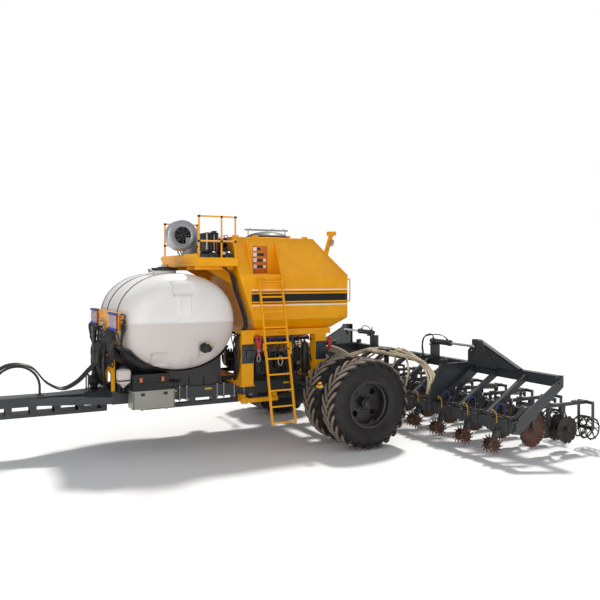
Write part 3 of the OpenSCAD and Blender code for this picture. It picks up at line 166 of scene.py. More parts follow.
# %% [markdown]
# ## A material's sheet
# A sheet holds one material and its main shader. It hands out the places, normals and noise that
# a finish is made from, and plugs the results into the shader's sockets.

# %% A sheet of nodes
class Sheet:
    """One material's node sheet."""
    def __init__(self, name):
        self.material = bpy.data.materials.new(name)
        self.material.use_nodes = True
        self.tree = self.material.node_tree
        self.shader = self.tree.nodes["Principled BSDF"]
    def node(self, kind, settings, *values, out=0):
        n = self.tree.nodes.new(kind)
        for k, v in settings.items():
            setattr(n, k, v)
        for socket, v in zip([s for s in n.inputs if s.enabled], values):
            self.plug(v, socket)
        return Wire(self, [s for s in n.outputs if s.enabled][out])
    def plug(self, v, socket):
        if isinstance(v, Wire):
            self.tree.links.new(v.socket, socket)
        elif v is not None:
            socket.default_value = v
    def place(self):
        n = self.tree.nodes.new("ShaderNodeTexCoord")
        return Wire(self, n.outputs["Object"])
    def xyz(self):
        n = self.tree.nodes.new("ShaderNodeSeparateXYZ")
        self.plug(self.place(), n.inputs[0])
        return [Wire(self, n.outputs[i]) for i in range(3)]
    def facing(self):
        n = self.tree.nodes.new("ShaderNodeSeparateXYZ")
        g = self.tree.nodes.new("ShaderNodeNewGeometry")
        self.tree.links.new(g.outputs["Normal"], n.inputs[0])
        return [Wire(self, n.outputs[i]) for i in range(3)]
    def noise(self, scale, detail=3.0, rough=0.6, where=None, stretch=None):
        where = where or self.place()
        if stretch:
            where = self.node("ShaderNodeVectorMath", {"operation": "MULTIPLY"}, where, stretch)
        return self.node("ShaderNodeTexNoise", {}, where, scale, detail, rough)
    def mix(self, mask, a, b):
        n = self.tree.nodes.new("ShaderNodeMix")
        n.data_type = "RGBA"
        self.plug(mask, n.inputs["Factor"])
        rgba = [s for s in n.inputs if s.type == "RGBA"]
        for v, s in zip((a, b), rgba):
            self.plug(tuple(v) + (1.0,) if isinstance(v, tuple) and len(v) == 3 else v, s)
        return Wire(self, [s for s in n.outputs if s.type == "RGBA"][0])
    def set(self, **sockets):
        for k, v in sockets.items():
            s = self.shader.inputs[k.replace("_", " ")]
            if isinstance(v, tuple) and len(v) == 3 and s.type == "RGBA":
                v = v + (1.0,)
            self.plug(v, s)
        return self
    def bump(self, height, depth, strength=1.0):
        n = self.tree.nodes.new("ShaderNodeBump")
        n.inputs["Strength"].default_value = strength
        n.inputs["Distance"].default_value = depth
        self.plug(height, n.inputs["Height"])
        self.plug(Wire(self, n.outputs["Normal"]), self.shader.inputs["Normal"])
        return self

# %% Colours
def rgb(r, g, b):
    """An everyday 0 to 255 colour as the linear numbers that a shader wants."""
    return tuple((v / 255 / 12.92 if v <= 10 else ((v / 255 + 0.055) / 1.055) ** 2.4)
        for v in (r, g, b))

# %% [markdown]
# ## Paint
# Powder-coated steel is not one flat colour. It has a slight orange peel, patches that have faded,
# dust that settles on upward faces and low down near the wheels, and chips on the working parts.
# One function makes every paint on the machine, so that they age alike.

# %% Painted steel
DUST = rgb(176, 158, 134)
def paint(name, colour, rough=0.35, dust=0.25, chips=0.0, coat=0.3, metal=0.0, dark=0.8):
    s = Sheet(name)
    height = s.xyz()[2]
    upward = s.facing()[2]
    patches = s.noise(1.7, 4.0)
    grain = s.noise(38.0, 3.0)
    base = s.mix(patches.step(0.35, 0.7), tuple(c * dark for c in colour), colour)
    low = 1.0 - height.step(0.2, 1.5)
    settle = ((upward * 0.5 + 0.15).clamp() + low * 0.5) * grain.step(0.35, 0.75) * dust
    base = s.mix(settle.clamp(), base, DUST)
    roughness = rough + settle * 0.45 + patches * 0.08
    if chips:
        spots = s.noise(24.0, 6.0, 0.75).step(0.68 - chips * 0.1, 0.72)
        base = s.mix(spots, base, rgb(96, 74, 58))
        roughness = roughness + spots * 0.3
    s.set(Base_Color=base, Roughness=roughness.clamp(), Metallic=metal)
    s.shader.inputs["Coat Weight"].default_value = coat
    s.shader.inputs["Coat Roughness"].default_value = 0.12
    s.bump(s.noise(420.0, 1.0) * 0.5 + grain * 0.5, 0.0006, 0.35)
    return s.material

yellow_paint = paint("yellow_paint", rgb(248, 172, 0), 0.42, 0.08, coat=0.04, dark=0.92)
yellow_paint.node_tree.nodes["Principled BSDF"].inputs["Specular IOR Level"].default_value = 0.3
graphite_paint = paint("graphite_paint", rgb(46, 54, 60), 0.42, 0.16, chips=0.2, coat=0.15)
worn_graphite = paint("worn_graphite", rgb(40, 46, 51), 0.5, 0.28, chips=0.7, coat=0.1)
black_paint = paint("black_paint", rgb(20, 22, 25), 0.4, 0.14)
grey_paint = paint("cabinet_grey", rgb(158, 158, 148), 0.42, 0.2, dark=0.9)
red_paint = paint("safety_red", rgb(205, 32, 30), 0.35, 0.1)
orange_latch = paint("orange_latch", rgb(226, 120, 62), 0.4, 0.05)

# %% [markdown]
# ## Stripes on the hopper
# The hopper wears horizontal bands on both flanks. They are stickers, so they follow height and
# the side they face, which two masks on the piece's own coordinates give without any image.

# %% Hopper paint
STRIPES_START = 1.9
STRIPE_BLACK, STRIPE_WHITE = rgb(14, 15, 17), rgb(240, 240, 238)
STRIPES = ((2.8, 2.945, STRIPE_BLACK), (2.755, 2.772, STRIPE_BLACK), (2.978, 2.995, STRIPE_BLACK),
           (2.712, 2.732, STRIPE_WHITE), (3.018, 3.038, STRIPE_WHITE))
def hopper_paint():
    s = Sheet("hopper_paint")
    x, y, z = s.xyz()
    sideways, upward = s.facing()[1:]
    patches = s.noise(1.3, 4.0)
    base = s.mix(patches.step(0.35, 0.7), rgb(238, 160, 0), rgb(250, 176, 0))
    side = (sideways * sideways > 0.9) * (x > AXLE_X - STRIPES_START)
    for low, high, colour in STRIPES:
        base = s.mix((z > low) * (z < high) * side, base, colour)
    streak = s.noise(5.0, 5.0, 0.7, stretch=(6.0, 6.0, 0.5)).step(0.5, 0.85) * 0.1
    base = s.mix(streak, base, rgb(150, 104, 30))
    dusty = (upward.clamp() * s.noise(14.0, 4.0).step(0.4, 0.8) * 0.3).clamp()
    base = s.mix(dusty, base, DUST)
    s.set(Base_Color=base, Roughness=0.4 + dusty * 0.4 + patches * 0.08, Metallic=0.0)
    s.shader.inputs["Specular IOR Level"].default_value = 0.3
    s.shader.inputs["Coat Weight"].default_value = 0.04
    s.bump(s.noise(300.0, 1.0) * 0.4 + s.noise(2.2, 1.0) * 0.6, 0.004, 0.12)
    return s.material
hopper_yellow = hopper_paint()

# %% [markdown]
# ## Moulded tank plastic
# Rotationally moulded polyethylene is milky: light goes a little way in. It has a soft sheen and a
# faint pebble, and its lower half is painted a darker, warmer tone as painted shade.

# %% Tank plastic
def tank_plastic():
    s = Sheet("tank_plastic")
    height = s.xyz()[2]
    # Painted shade: below the tank's middle the plastic is mixed towards a darker, warmer grey.
    level = 1.0 - height.step(2.42, 2.47)
    clouds = s.noise(1.1, 3.0).step(0.3, 0.75)
    base = s.mix(clouds, rgb(232, 229, 226), rgb(243, 241, 238))
    base = s.mix(level * 0.85, base, rgb(208, 199, 194))
    grime = s.noise(9.0, 5.0, 0.7).step(0.55, 0.9) * (1.0 - height.step(1.5, 2.3)) * 0.4
    base = s.mix(grime, base, rgb(190, 176, 156))
    s.set(Base_Color=base, Roughness=0.36 + clouds * 0.08 + grime * 0.3)
    s.shader.inputs["Subsurface Weight"].default_value = 0.1
    s.shader.inputs["Subsurface Scale"].default_value = 0.03
    s.bump(s.noise(160.0, 2.0), 0.0008, 0.4)
    return s.material
white_plastic = tank_plastic()

# %% [markdown]
# ## Rubber, rust and bare metal
# Tyres carry pale field dust on the lugs and stay black in between; ground tools are half polished,
# half rusted. Distance from the wheel's own axis tells the lug from the sidewall.

# %% Rubber, rust, metal, plastic
AXLE_Z = sum(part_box("tyres_left")[i][2] for i in (0, 1)) / 2
def tyre_rubber():
    s = Sheet("tyre_rubber")
    x, y, z = s.xyz()
    dx, dz = x - AXLE_X, z - AXLE_Z
    r = (dx * dx + dz * dz).power(0.5)
    dust = s.noise(7.0, 6.0, 0.75).step(0.3, 0.62)
    fine = s.noise(60.0, 3.0, 0.7).step(0.3, 0.7)
    crown = r.step(0.812, 0.842)
    mask = (crown * (0.62 + dust * 0.3) + (1.0 - crown) * dust * 0.05) * (0.65 + fine * 0.35)
    base = s.mix(mask.clamp(), rgb(15, 15, 16), rgb(168, 152, 138))
    s.set(Base_Color=base, Roughness=0.62 + mask * 0.3)
    ribs = (r * 260.0).sine() * (1.0 - crown)
    s.bump(fine * 0.6 + ribs * 0.2, 0.002, 0.5)
    return s.material
def rubber(name, colour, rough=0.45, dust=0.15):
    s = Sheet(name)
    mask = s.noise(11.0, 5.0, 0.7).step(0.45, 0.85) * dust
    s.set(Base_Color=s.mix(mask, colour, DUST), Roughness=rough + mask * 0.4)
    s.bump(s.noise(190.0, 2.0), 0.0006, 0.4)
    return s.material
def rusty(name, steel, rust, soil=0.4):
    s = Sheet(name)
    patch = s.noise(9.0, 7.0, 0.75)
    red = patch.step(0.42, 0.6)
    mud = s.noise(17.0, 6.0, 0.8).step(0.55 - soil * 0.15, 0.8)
    base = s.mix(red, steel, rust)
    base = s.mix(mud * 0.7, base, rgb(104, 82, 62))
    s.set(Base_Color=base, Roughness=0.38 + red * 0.32 + mud * 0.2, Metallic=0.75 - red * 0.65)
    s.bump(patch * 0.6 + mud * 0.8, 0.003, 0.6)
    return s.material
def bare(name, colour, rough=0.3, streak=(1.0, 30.0, 1.0), metal=0.9):
    s = Sheet(name)
    lines = s.noise(20.0, 4.0, 0.6, stretch=streak)
    spots = s.noise(6.0, 4.0).step(0.5, 0.8)
    s.set(Base_Color=s.mix(spots * 0.35, colour, tuple(c * 0.6 for c in colour)),
        Roughness=rough + lines * 0.15, Metallic=metal)
    s.bump(lines, 0.0004, 0.4)
    return s.material
def moulded(name, colour, rough=0.45):
    s = Sheet(name)
    haze = s.noise(5.0, 4.0).step(0.4, 0.8)
    s.set(Base_Color=s.mix(haze * 0.25, colour, tuple(min(1.0, c * 1.6 + 0.02) for c in colour)),
        Roughness=rough + haze * 0.12)
    s.bump(s.noise(260.0, 2.0), 0.0006, 0.5)
    return s.material
def lens(name, colour, glow=0.15):
    s = Sheet(name)
    ribs = s.noise(90.0, 1.0, 0.2, stretch=(1.0, 1.0, 8.0))
    s.set(Base_Color=s.mix(ribs * 0.4, colour, tuple(min(1.0, c * 1.7) for c in colour)),
        Roughness=0.12 + ribs * 0.1, Emission_Color=colour)
    s.shader.inputs["Emission Strength"].default_value = glow
    s.bump(ribs, 0.002, 0.6)
    return s.material

# %% Finishes from those makers
dusty_tyre = tyre_rubber()
black_hose = rubber("black_hose", rgb(24, 25, 27), 0.38, 0.12)
pale_hose = rubber("pale_hose", rgb(196, 184, 158), 0.35, 0.25)
blue_line = rubber("blue_line", rgb(38, 74, 168), 0.3, 0.05)
yellow_line = rubber("yellow_line", rgb(226, 182, 30), 0.3, 0.05)
rust_disc = rusty("rusted_disc", rgb(70, 62, 58), rgb(112, 62, 34))
dark_disc = rusty("dark_disc", rgb(38, 38, 39), rgb(60, 44, 36), 0.4)
zinc = bare("zinc_plate", rgb(178, 180, 184), 0.34)
polished = bare("polished_rod", rgb(214, 216, 220), 0.12)
fan_metal = bare("spun_fan_metal", rgb(176, 182, 188), 0.3, (1.0, 1.0, 1.0), 0.8)
copper = bare("copper_pipe", rgb(196, 118, 78), 0.28)
black_moulding = moulded("black_moulding", rgb(24, 25, 27), 0.42)
blue_cap = moulded("blue_cap", rgb(40, 66, 150), 0.35)
red_float = moulded("red_float", rgb(176, 44, 48), 0.35)
white_valve = moulded("white_valve", rgb(226, 226, 224), 0.35)
amber = lens("amber_lens", rgb(240, 130, 16))
red_lens = lens("red_lens", rgb(190, 24, 22))

# %% Floor finish
def floor_finish():
    s = Sheet("pale_floor")
    tone = s.noise(0.8, 3.0)
    s.set(Base_Color=s.mix(tone * 0.3, (0.86, 0.86, 0.86), (0.8, 0.8, 0.81)),
        Roughness=0.75 + tone * 0.1)
    return s.material
floor.data.materials.append(floor_finish())
print(len(bpy.data.materials), "finishes")

# %% [markdown]
# ## A small modelling kit
# Most of the machine is plate, tube and turned parts. A shape collects them in one mesh: a box
# with softened edges, a rod between two points, an outline turned about an axis, and an outline
# cut from plate. Places are written from the axle, as on a drawing, and moved by at().

# %% Modelling kit
AXES = {"X": 0, "Y": 1, "Z": 2}

class Shape:
    def __init__(self):
        self.bm = bmesh.new()
    def soften(self, verts, width, segments=2):
        edges = {e for v in verts for e in v.link_edges}
        bmesh.ops.bevel(self.bm, geom=list(edges), offset=width, segments=segments, affect="EDGES",
                        profile=0.5, clamp_overlap=True)
    def box(self, low, high, edge=0.004, turn=None):
        a, b = at(*low), at(*high)
        size = b - a
        place = Matrix.Translation((a + b) / 2)
        if turn:
            place = place @ turn
        made = bmesh.ops.create_cube(self.bm, size=1.0, matrix=place @ Matrix.Diagonal((*size, 1.0)))
        if edge:
            self.soften(made["verts"], min(edge, min(abs(v) for v in size) * 0.3))
        return self
    def rod(self, start, end, radius, end_radius=None, sides=18):
        a, b = at(*start), at(*end)
        along = b - a
        turn = along.to_track_quat("Z", "Y").to_matrix().to_4x4()
        bmesh.ops.create_cone(self.bm, cap_ends=True, segments=sides, radius1=radius,
                              radius2=radius if end_radius is None else end_radius, depth=along.length,
                              matrix=Matrix.Translation((a + b) / 2) @ turn)
        return self
    def lathe(self, outline, centre, axis="Y", sides=64, closed=True):
        """outline: (radius, distance along the axis) pairs. Turned about the axis through centre."""
        c = at(*centre)
        k = AXES[axis]
        i, j = (k + 1) % 3, (k + 2) % 3
        rings = []
        for n in range(sides):
            angle = tau * n / sides
            ring = []
            for radius, along in outline:
                p = Vector((0.0, 0.0, 0.0))
                p[k] = along
                p[i] = radius * cos(angle)
                p[j] = radius * sin(angle)
                ring.append(self.bm.verts.new(c + p))
            rings.append(ring)
        count = len(outline)
        for n in range(sides):
            one, two = rings[n], rings[(n + 1) % sides]
            for m in range(count if closed else count - 1):
                corners = [one[m], one[(m + 1) % count], two[(m + 1) % count], two[m]]
                self.bm.faces.new(corners)
        bmesh.ops.remove_doubles(self.bm, verts=[v for ring in rings for v in ring], dist=1e-5)
        return self
    def plate(self, outline, low, high, axis="Y", edge=0.002):
        """outline: points in the other two directions, in the order X, Y, Z."""
        k = AXES[axis]
        others = [n for n in range(3) if n != k]
        faces = []
        for level in (low, high):
            corners = []
            for a, b in outline:
                p = [0.0, 0.0, 0.0]
                p[k], p[others[0]], p[others[1]] = level, a, b
                corners.append(self.bm.verts.new(at(*p)))
            faces.append(corners)
        count = len(outline)
        self.bm.faces.new(faces[0])
        self.bm.faces.new(list(reversed(faces[1])))
        for n in range(count):
            m = (n + 1) % count
            self.bm.faces.new([faces[0][m], faces[0][n], faces[1][n], faces[1][m]])
        if edge:
            self.soften(faces[0] + faces[1], edge, 1)
        return self
    def loft(self, rows):
        """Skin over rows of vertices, each a closed ring, with a face over both ends."""
        for one, two in zip(rows, rows[1:]):
            for m in range(len(one)):
                n = (m + 1) % len(one)
                self.bm.faces.new([one[m], one[n], two[n], two[m]])
        self.bm.faces.new(rows[0])
        self.bm.faces.new(list(reversed(rows[-1])))
        return self
    def take(self, mesh):
        self.bm.from_mesh(mesh)
        return self
    def mesh(self, name="shape", sharp=35.0):
        bmesh.ops.recalc_face_normals(self.bm, faces=self.bm.faces)
        mesh = bpy.data.meshes.new(name)
        self.bm.to_mesh(mesh)
        self.bm.free()
        mesh.shade_smooth()
        mesh.set_sharp_from_angle(angle=radians(sharp))
        return mesh

# %% [markdown]
# ## From a shape to a piece
# A piece is an object with one finish that rides one body.

# %% Pieces
def piece(name, body, finish, mesh, replaces=(), sharp=35.0):
    if isinstance(mesh, Shape):
        mesh = mesh.mesh(name, sharp)
    mesh.materials.clear()
    mesh.materials.append(finish)
    thing = bpy.data.objects.new(name, mesh)
    bpy.context.scene.collection.objects.link(thing)
    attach(thing, body)
    if replaces:
        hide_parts(*replaces)
    print(f"{name}: {len(mesh.polygons)} faces on {body}")
    return thing

# %% [markdown]
# ## Node trees for what repeats
# Lugs, bolts, spikes and bars are one shape again and again. Three small geometry node trees
# make them: copies turned about an axis, copies stepped along a line, and a pipe that follows a
# path. A fourth puts a hexagon bolt with its washer at each point that it is given.

# %% Node trees
class Tree:
    def __init__(self, name, **inputs):
        self.tree = bpy.data.node_groups.new(name, "GeometryNodeTree")
        self.names = {}
        face = self.tree.interface
        face.new_socket("Geometry", in_out="INPUT", socket_type="NodeSocketGeometry")
        for label, kind in {**inputs, "Finish": "Material"}.items():
            made = face.new_socket(label, in_out="INPUT", socket_type="NodeSocket" + kind)
            self.names[label] = made.identifier
        face.new_socket("Geometry", in_out="OUTPUT", socket_type="NodeSocketGeometry")
        self.start = self.tree.nodes.new("NodeGroupInput")
        self.end = self.tree.nodes.new("NodeGroupOutput")
    def __getitem__(self, label):
        return self.start.outputs[label]
    def node(self, kind, settings=None, sockets=None, out=0):
        n = self.tree.nodes.new(kind)
        for k, v in (settings or {}).items():
            setattr(n, k, v)
        for k, v in (sockets or {}).items():
            if isinstance(v, bpy.types.NodeSocket):
                self.tree.links.new(v, n.inputs[k])
            else:
                n.inputs[k].default_value = v
        return n.outputs[out]
    def math(self, operation, a, b):
        return self.node("ShaderNodeMath", {"operation": operation}, {0: a, 1: b})
    def finish(self, geometry):
        real = self.node("GeometryNodeRealizeInstances", {}, {"Geometry": geometry})
        done = self.node("GeometryNodeSetMaterial", {}, {"Geometry": real, "Material": self["Finish"]})
        self.tree.links.new(done, self.end.inputs[0])
        return self
    def grow(self, mesh, finish, **inputs):
        host = bpy.data.objects.new("host", mesh)
        bpy.context.scene.collection.objects.link(host)
        modifier = host.modifiers.new("tree", "NODES")
        modifier.node_group = self.tree
        for label, value in {**inputs, "Finish": finish}.items():
            modifier[self.names[label]] = value
        bpy.context.view_layer.update()
        ready = host.evaluated_get(bpy.context.evaluated_depsgraph_get())
        result = bpy.data.meshes.new_from_object(ready)
        host.modifiers.remove(modifier)
        bpy.data.objects.remove(host)
        return result

# %% The four trees
def turned_tree():
    t = Tree("copies_turned", Count="Int", Centre="Vector", Turn="Vector")
    home = t.node("ShaderNodeVectorMath", {"operation": "SCALE"}, {0: t["Centre"], "Scale": -1.0})
    item = t.node("GeometryNodeTransform", {}, {"Geometry": t["Geometry"], "Translation": home})
    points = t.node("GeometryNodePoints", {}, {"Count": t["Count"], "Position": t["Centre"]})
    step = t.math("DIVIDE", tau, t["Count"])
    angle = t.math("MULTIPLY", t.node("GeometryNodeInputIndex"), step)
    turn = t.node("ShaderNodeVectorMath", {"operation": "SCALE"}, {0: t["Turn"], "Scale": angle})
    return t.finish(t.node("GeometryNodeInstanceOnPoints", {},
        {"Points": points, "Instance": item, "Rotation": turn}))

def stepped_tree():
    t = Tree("copies_stepped", Count="Int", Step="Vector")
    line = t.node("GeometryNodeMeshLine", {"mode": "OFFSET"},
        {"Count": t["Count"], "Offset": t["Step"]})
    return t.finish(t.node("GeometryNodeInstanceOnPoints", {},
        {"Points": line, "Instance": t["Geometry"]}))

def pipe_tree():
    t = Tree("pipe_on_path", Radius="Float", Sides="Int")
    curve = t.node("GeometryNodeMeshToCurve", {}, {"Mesh": t["Geometry"]})
    ring = t.node("GeometryNodeCurvePrimitiveCircle", {"mode": "RADIUS"},
        {"Resolution": t["Sides"], "Radius": t["Radius"]})
    return t.finish(t.node("GeometryNodeCurveToMesh", {},
        {"Curve": curve, "Profile Curve": ring, "Fill Caps": True}))

def bolt_tree():
    t = Tree("bolts_at_points", Size="Float")
    washer = t.node("GeometryNodeMeshCylinder", {},
        {"Vertices": 16, "Radius": t.math("MULTIPLY", t["Size"], 1.25),
        "Depth": t.math("MULTIPLY", t["Size"], 0.5)})
    head = t.node("GeometryNodeMeshCylinder", {},
        {"Vertices": 6, "Radius": t["Size"], "Depth": t.math("MULTIPLY", t["Size"], 1.3)})
    lift = t.node("ShaderNodeCombineXYZ", {}, {"Z": t.math("MULTIPLY", t["Size"], 0.7)})
    head = t.node("GeometryNodeTransform", {}, {"Geometry": head, "Translation": lift})
    both = t.tree.nodes.new("GeometryNodeJoinGeometry")
    t.tree.links.new(washer, both.inputs[0])
    t.tree.links.new(head, both.inputs[0])
    facing = t.node("GeometryNodeInputNamedAttribute", {"data_type": "FLOAT_VECTOR"},
        {"Name": "facing"})
    turn = t.node("FunctionNodeAlignRotationToVector", {"axis": "Z"}, {"Vector": facing})
    return t.finish(t.node("GeometryNodeInstanceOnPoints", {},
        {"Points": t["Geometry"], "Instance": both.outputs[0], "Rotation": turn}))

TURNED, STEPPED, PIPE, BOLTS = turned_tree(), stepped_tree(), pipe_tree(), bolt_tree()

def turned(shape, count, centre, turn=(0.0, 1.0, 0.0), finish=None):
    return TURNED.grow(shape.mesh(), finish or zinc, Count=count, Centre=at(*centre), Turn=turn)

def stepped(mesh, count, step, finish=None):
    return STEPPED.grow(mesh, finish or zinc, Count=count, Step=step)

# %% Pipes and bolts
def smooth_path(points, fine=6):
    """Catmull-Rom points through the given places, which are written from the axle."""
    p = [at(*q) for q in points]
    p = [p[0] * 2 - p[1]] + p + [p[-1] * 2 - p[-2]]
    path = []
    for i in range(1, len(p) - 2):
        for n in range(fine):
            t = n / fine
            a, b, c, d = p[i - 1], p[i], p[i + 1], p[i + 2]
            path.append(0.5 * (2 * b + (c - a) * t + (2 * a - 5 * b + 4 * c - d) * t * t
                               + (3 * b - a - 3 * c + d) * t * t * t))
    path.append(p[-2])
    return path

def pipe(points, radius, finish, sides=10, fine=6):
    path = smooth_path(points, fine)
    mesh = bpy.data.meshes.new("path")
    mesh.from_pydata(path, [(n, n + 1) for n in range(len(path) - 1)], [])
    return PIPE.grow(mesh, finish, Radius=radius, Sides=sides)

def bolts(places, size, finish=None):
    """places: (point, facing) pairs."""
    mesh = bpy.data.meshes.new("places")
    mesh.from_pydata([at(*p) for p, f in places], [], [])
    facing = mesh.attributes.new("facing", "FLOAT_VECTOR", "POINT")
    facing.data.foreach_set("vector", [v for p, f in places for v in f])
    return BOLTS.grow(mesh, finish or zinc, Size=size)

def bolt_circle(centre, radius, count, side, size, phase=0.0):
    """Bolts in a ring about the Y direction, with their heads to one side."""
    x, y, z = centre
    angles = [tau * (n + phase) / count for n in range(count)]
    return bolts([((x + radius * cos(a), y, z + radius * sin(a)), (0.0, side, 0.0))
        for a in angles], size)
print("node trees:", [t.tree.name for t in (TURNED, STEPPED, PIPE, BOLTS)])

# %% [markdown]
# ## Paint for the parts whose CAD shape is right
# Frames, ladders and linkages are cut and welded in the real shop as they are in the drawing, so
# those nodes stay as they are and only get their paint.

# %% CAD nodes and their finishes
FINISHES = {graphite_paint: ["tongue", "main_frame", "axle_beam", "toolbar_center", "wing_left",
    "wing_right", "jack_tube"], worn_graphite: ["row_arms_center", "row_arms_left", "row_arms_right",
    "hitch_clevis"], black_paint: ["hose_hoop", "tank_cradle", "product_pump", "tank_valve",
    "fold_barrels", "rims_left", "rims_right", "hopper_lid"],
    yellow_paint: ["hopper_frame", "platform", "ladder_upper", "ladder_lower", "rear_mast",
    "lower_arms", "upper_arms", "marker_lamps", "manifold_plate"], hopper_yellow: ["hopper_shell"],
    grey_paint: ["side_cabinet", "cabinet_door"],
    black_moulding: ["tank_lid", "toolbox_bin", "toolbox_lid"], zinc: ["jack_leg", "meter_box"],
    polished: ["rod_left", "rod_right"], yellow_line: ["valve_handle"],}
for finish, names in FINISHES.items():
    for name in names:
        mesh = nodes[name].data
        mesh.materials.clear()
        mesh.materials.append(finish)
print(sum(len(v) for v in FINISHES.values()), "CAD nodes have their finish")

# %% [markdown]
# ## Tractor tyres
# A drive tyre is a smooth carcass with two rows of slanted lugs, set half a pitch apart. The
# carcass is one outline turned about the axle. One lug is lofted from the crown round the
# shoulder, and the turning tree makes the rest, so the pitch is exact.

# %% Tyres
TYRE_R = (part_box("tyres_left")[1][2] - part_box("tyres_left")[0][2]) / 2
RIM_R = 0.432
INNER_Y, OUTER_Y = 1.524, 2.286
HALF_W = 0.24
LUGS = 24
def carcass(y):
    r = TYRE_R - 0.052
    outline = [(RIM_R + 0.006, -0.165), (RIM_R + 0.03, -0.182), (RIM_R + 0.055, -0.198),
        (RIM_R + 0.085, -0.222), (RIM_R + 0.14, -0.236), (RIM_R + 0.21, -0.2385),
        (RIM_R + 0.27, -0.234), (r - 0.062, -0.222), (r - 0.028, -0.196), (r - 0.01, -0.14),
        (r - 0.002, -0.07)]
    outline += [(r, 0.0)] + [(radius, -along) for radius, along in reversed(outline)]
    outline += [(RIM_R + 0.03, 0.13), (r - 0.1, 0.17), (r - 0.06, 0.0), (r - 0.1, -0.17),
        (RIM_R + 0.03, -0.13)]
    return Shape().lathe(outline, (0.0, y, AXLE_Z), sides=112)

def lug(y, side):
    """One lug, from the middle of the tread over the shoulder, at angle 0."""
    r = TYRE_R
    shape = Shape()
    rows = []
    for n in range(9):
        t = n / 8
        across = 0.012 + 0.222 * min(1.0, t * 1.14)
        swing = -0.4 * t ** 0.85
        top = r - 0.03 * max(0.0, t - 0.55) ** 1.5 * 4 - (0.055 if n == 8 else 0.018 if n == 7
            else 0.0)
        foot = r - 0.062 - 0.055 * max(0.0, t - 0.6) ** 1.2 * 2.2
        wide = 0.026 + 0.01 * t
        row = []
        half = ((foot, wide * 1.35), (top - 0.006, wide * 1.02), (top, wide * 0.86))
        for radius, spread in half + tuple((radius, -spread) for radius, spread in reversed(half)):
            angle = swing + spread / r
            p = at(radius * cos(angle), y + side * min(across, HALF_W - 0.004),
                AXLE_Z + radius * sin(angle))
            row.append(shape.bm.verts.new(p))
        rows.append(row)
    return shape.loft(rows)

def tyre(y):
    whole = carcass(y)
    for side in (-1, 1):
        item = lug(y, side)
        if side > 0:
            bmesh.ops.rotate(item.bm, verts=item.bm.verts, cent=at(0.0, y, AXLE_Z),
                             matrix=Matrix.Rotation(pi / LUGS, 3, "Y"))
        whole.take(turned(item, LUGS, (0.0, y, AXLE_Z), finish=dusty_tyre))
    for groove in (0.1, 0.16):
        for side in (-1, 1):
            edge = y + side * (HALF_W - 0.001)
            whole.lathe([(RIM_R + groove, edge - 0.003),
                (RIM_R + groove + 0.006, edge + side * 0.0015 - 0.0015),
                (RIM_R + groove + 0.012, edge - 0.003),
                (RIM_R + groove + 0.006, edge - side * 0.006 - 0.003)], (0.0, 0.0, AXLE_Z), sides=96)
    return whole

for side, name in ((-1, "left"), (1, "right")):
    both = tyre(side * INNER_Y)
    both.take(tyre(side * OUTER_Y).mesh())
    piece(f"lugged_tyres_{name}", f"wheels_{name}", dusty_tyre, both, (f"tyres_{name}",),
        30.0)

# %% [markdown]
# ## Hub, wheel bolts and valve
# The rims are right as they were turned in the CAD model. What a person sees on them is the ring
# of rim bolts, the stepped hub cap with its own bolts, and the valve, so those are added.

# %% Hubs
def hub(side):
    face = side * (OUTER_Y - 0.055)
    shape = Shape()
    shape.take(bolt_circle((0.0, face, AXLE_Z), 0.355, 12, side, 0.013, 0.5))
    cap = [(0.0, 0.0), (0.112, 0.0), (0.112, 0.045), (0.104, 0.055), (0.08, 0.058), (0.076, 0.08),
        (0.06, 0.088), (0.0, 0.09)]
    start = OUTER_Y + 0.0205
    shape.lathe([(radius, side * (start + along)) for radius, along in cap], (0.0, 0.0, AXLE_Z),
        sides=48)
    shape.take(bolt_circle((0.0, side * (start + 0.057), AXLE_Z), 0.092, 8, side, 0.008))
    shape.rod((0.3, face, AXLE_Z + 0.26), (0.33, face + side * 0.045, AXLE_Z + 0.285), 0.006)
    return shape
for side, name in ((-1, "left"), (1, "right")):
    piece(f"hub_cap_{name}", f"wheels_{name}", black_paint, hub(side))

# %% [markdown]
# ## The liquid tank
# A rotationally moulded tank is one closed skin, thick and soft at every corner. It is lofted
# here from oval sections, with domed ends, and what the mould presses in is added as a small
# push of the skin: the seam at half height, a ladder, pads for fittings and shallow ribs.

# %% Liquid tank
TANK = (-3.275, 2.445)
TANK_A, TANK_B, TANK_L = 1.09, 0.905, 1.38
OVAL = 0.93
def soft_step(value, low, high):
    t = min(1.0, max(0.0, (value - low) / (high - low)))
    return t * t * (3.0 - 2.0 * t)
def inside(value, low, high, edge):
    return soft_step(value, low - edge, low + edge) * (1.0 - soft_step(value, high - edge, high + edge))
def squared(value, power):
    """A cosine or sine pulled towards the corners of a square, which turns a circle into an oval."""
    return copysign(abs(value) ** power, value)
def tank_section(t, stand):
    """A place on the tank's oval at angle t, a little off its skin."""
    return (TANK[0] + (TANK_A + stand) * squared(cos(t), OVAL),
        TANK[1] + (TANK_B + stand) * squared(sin(t), OVAL))

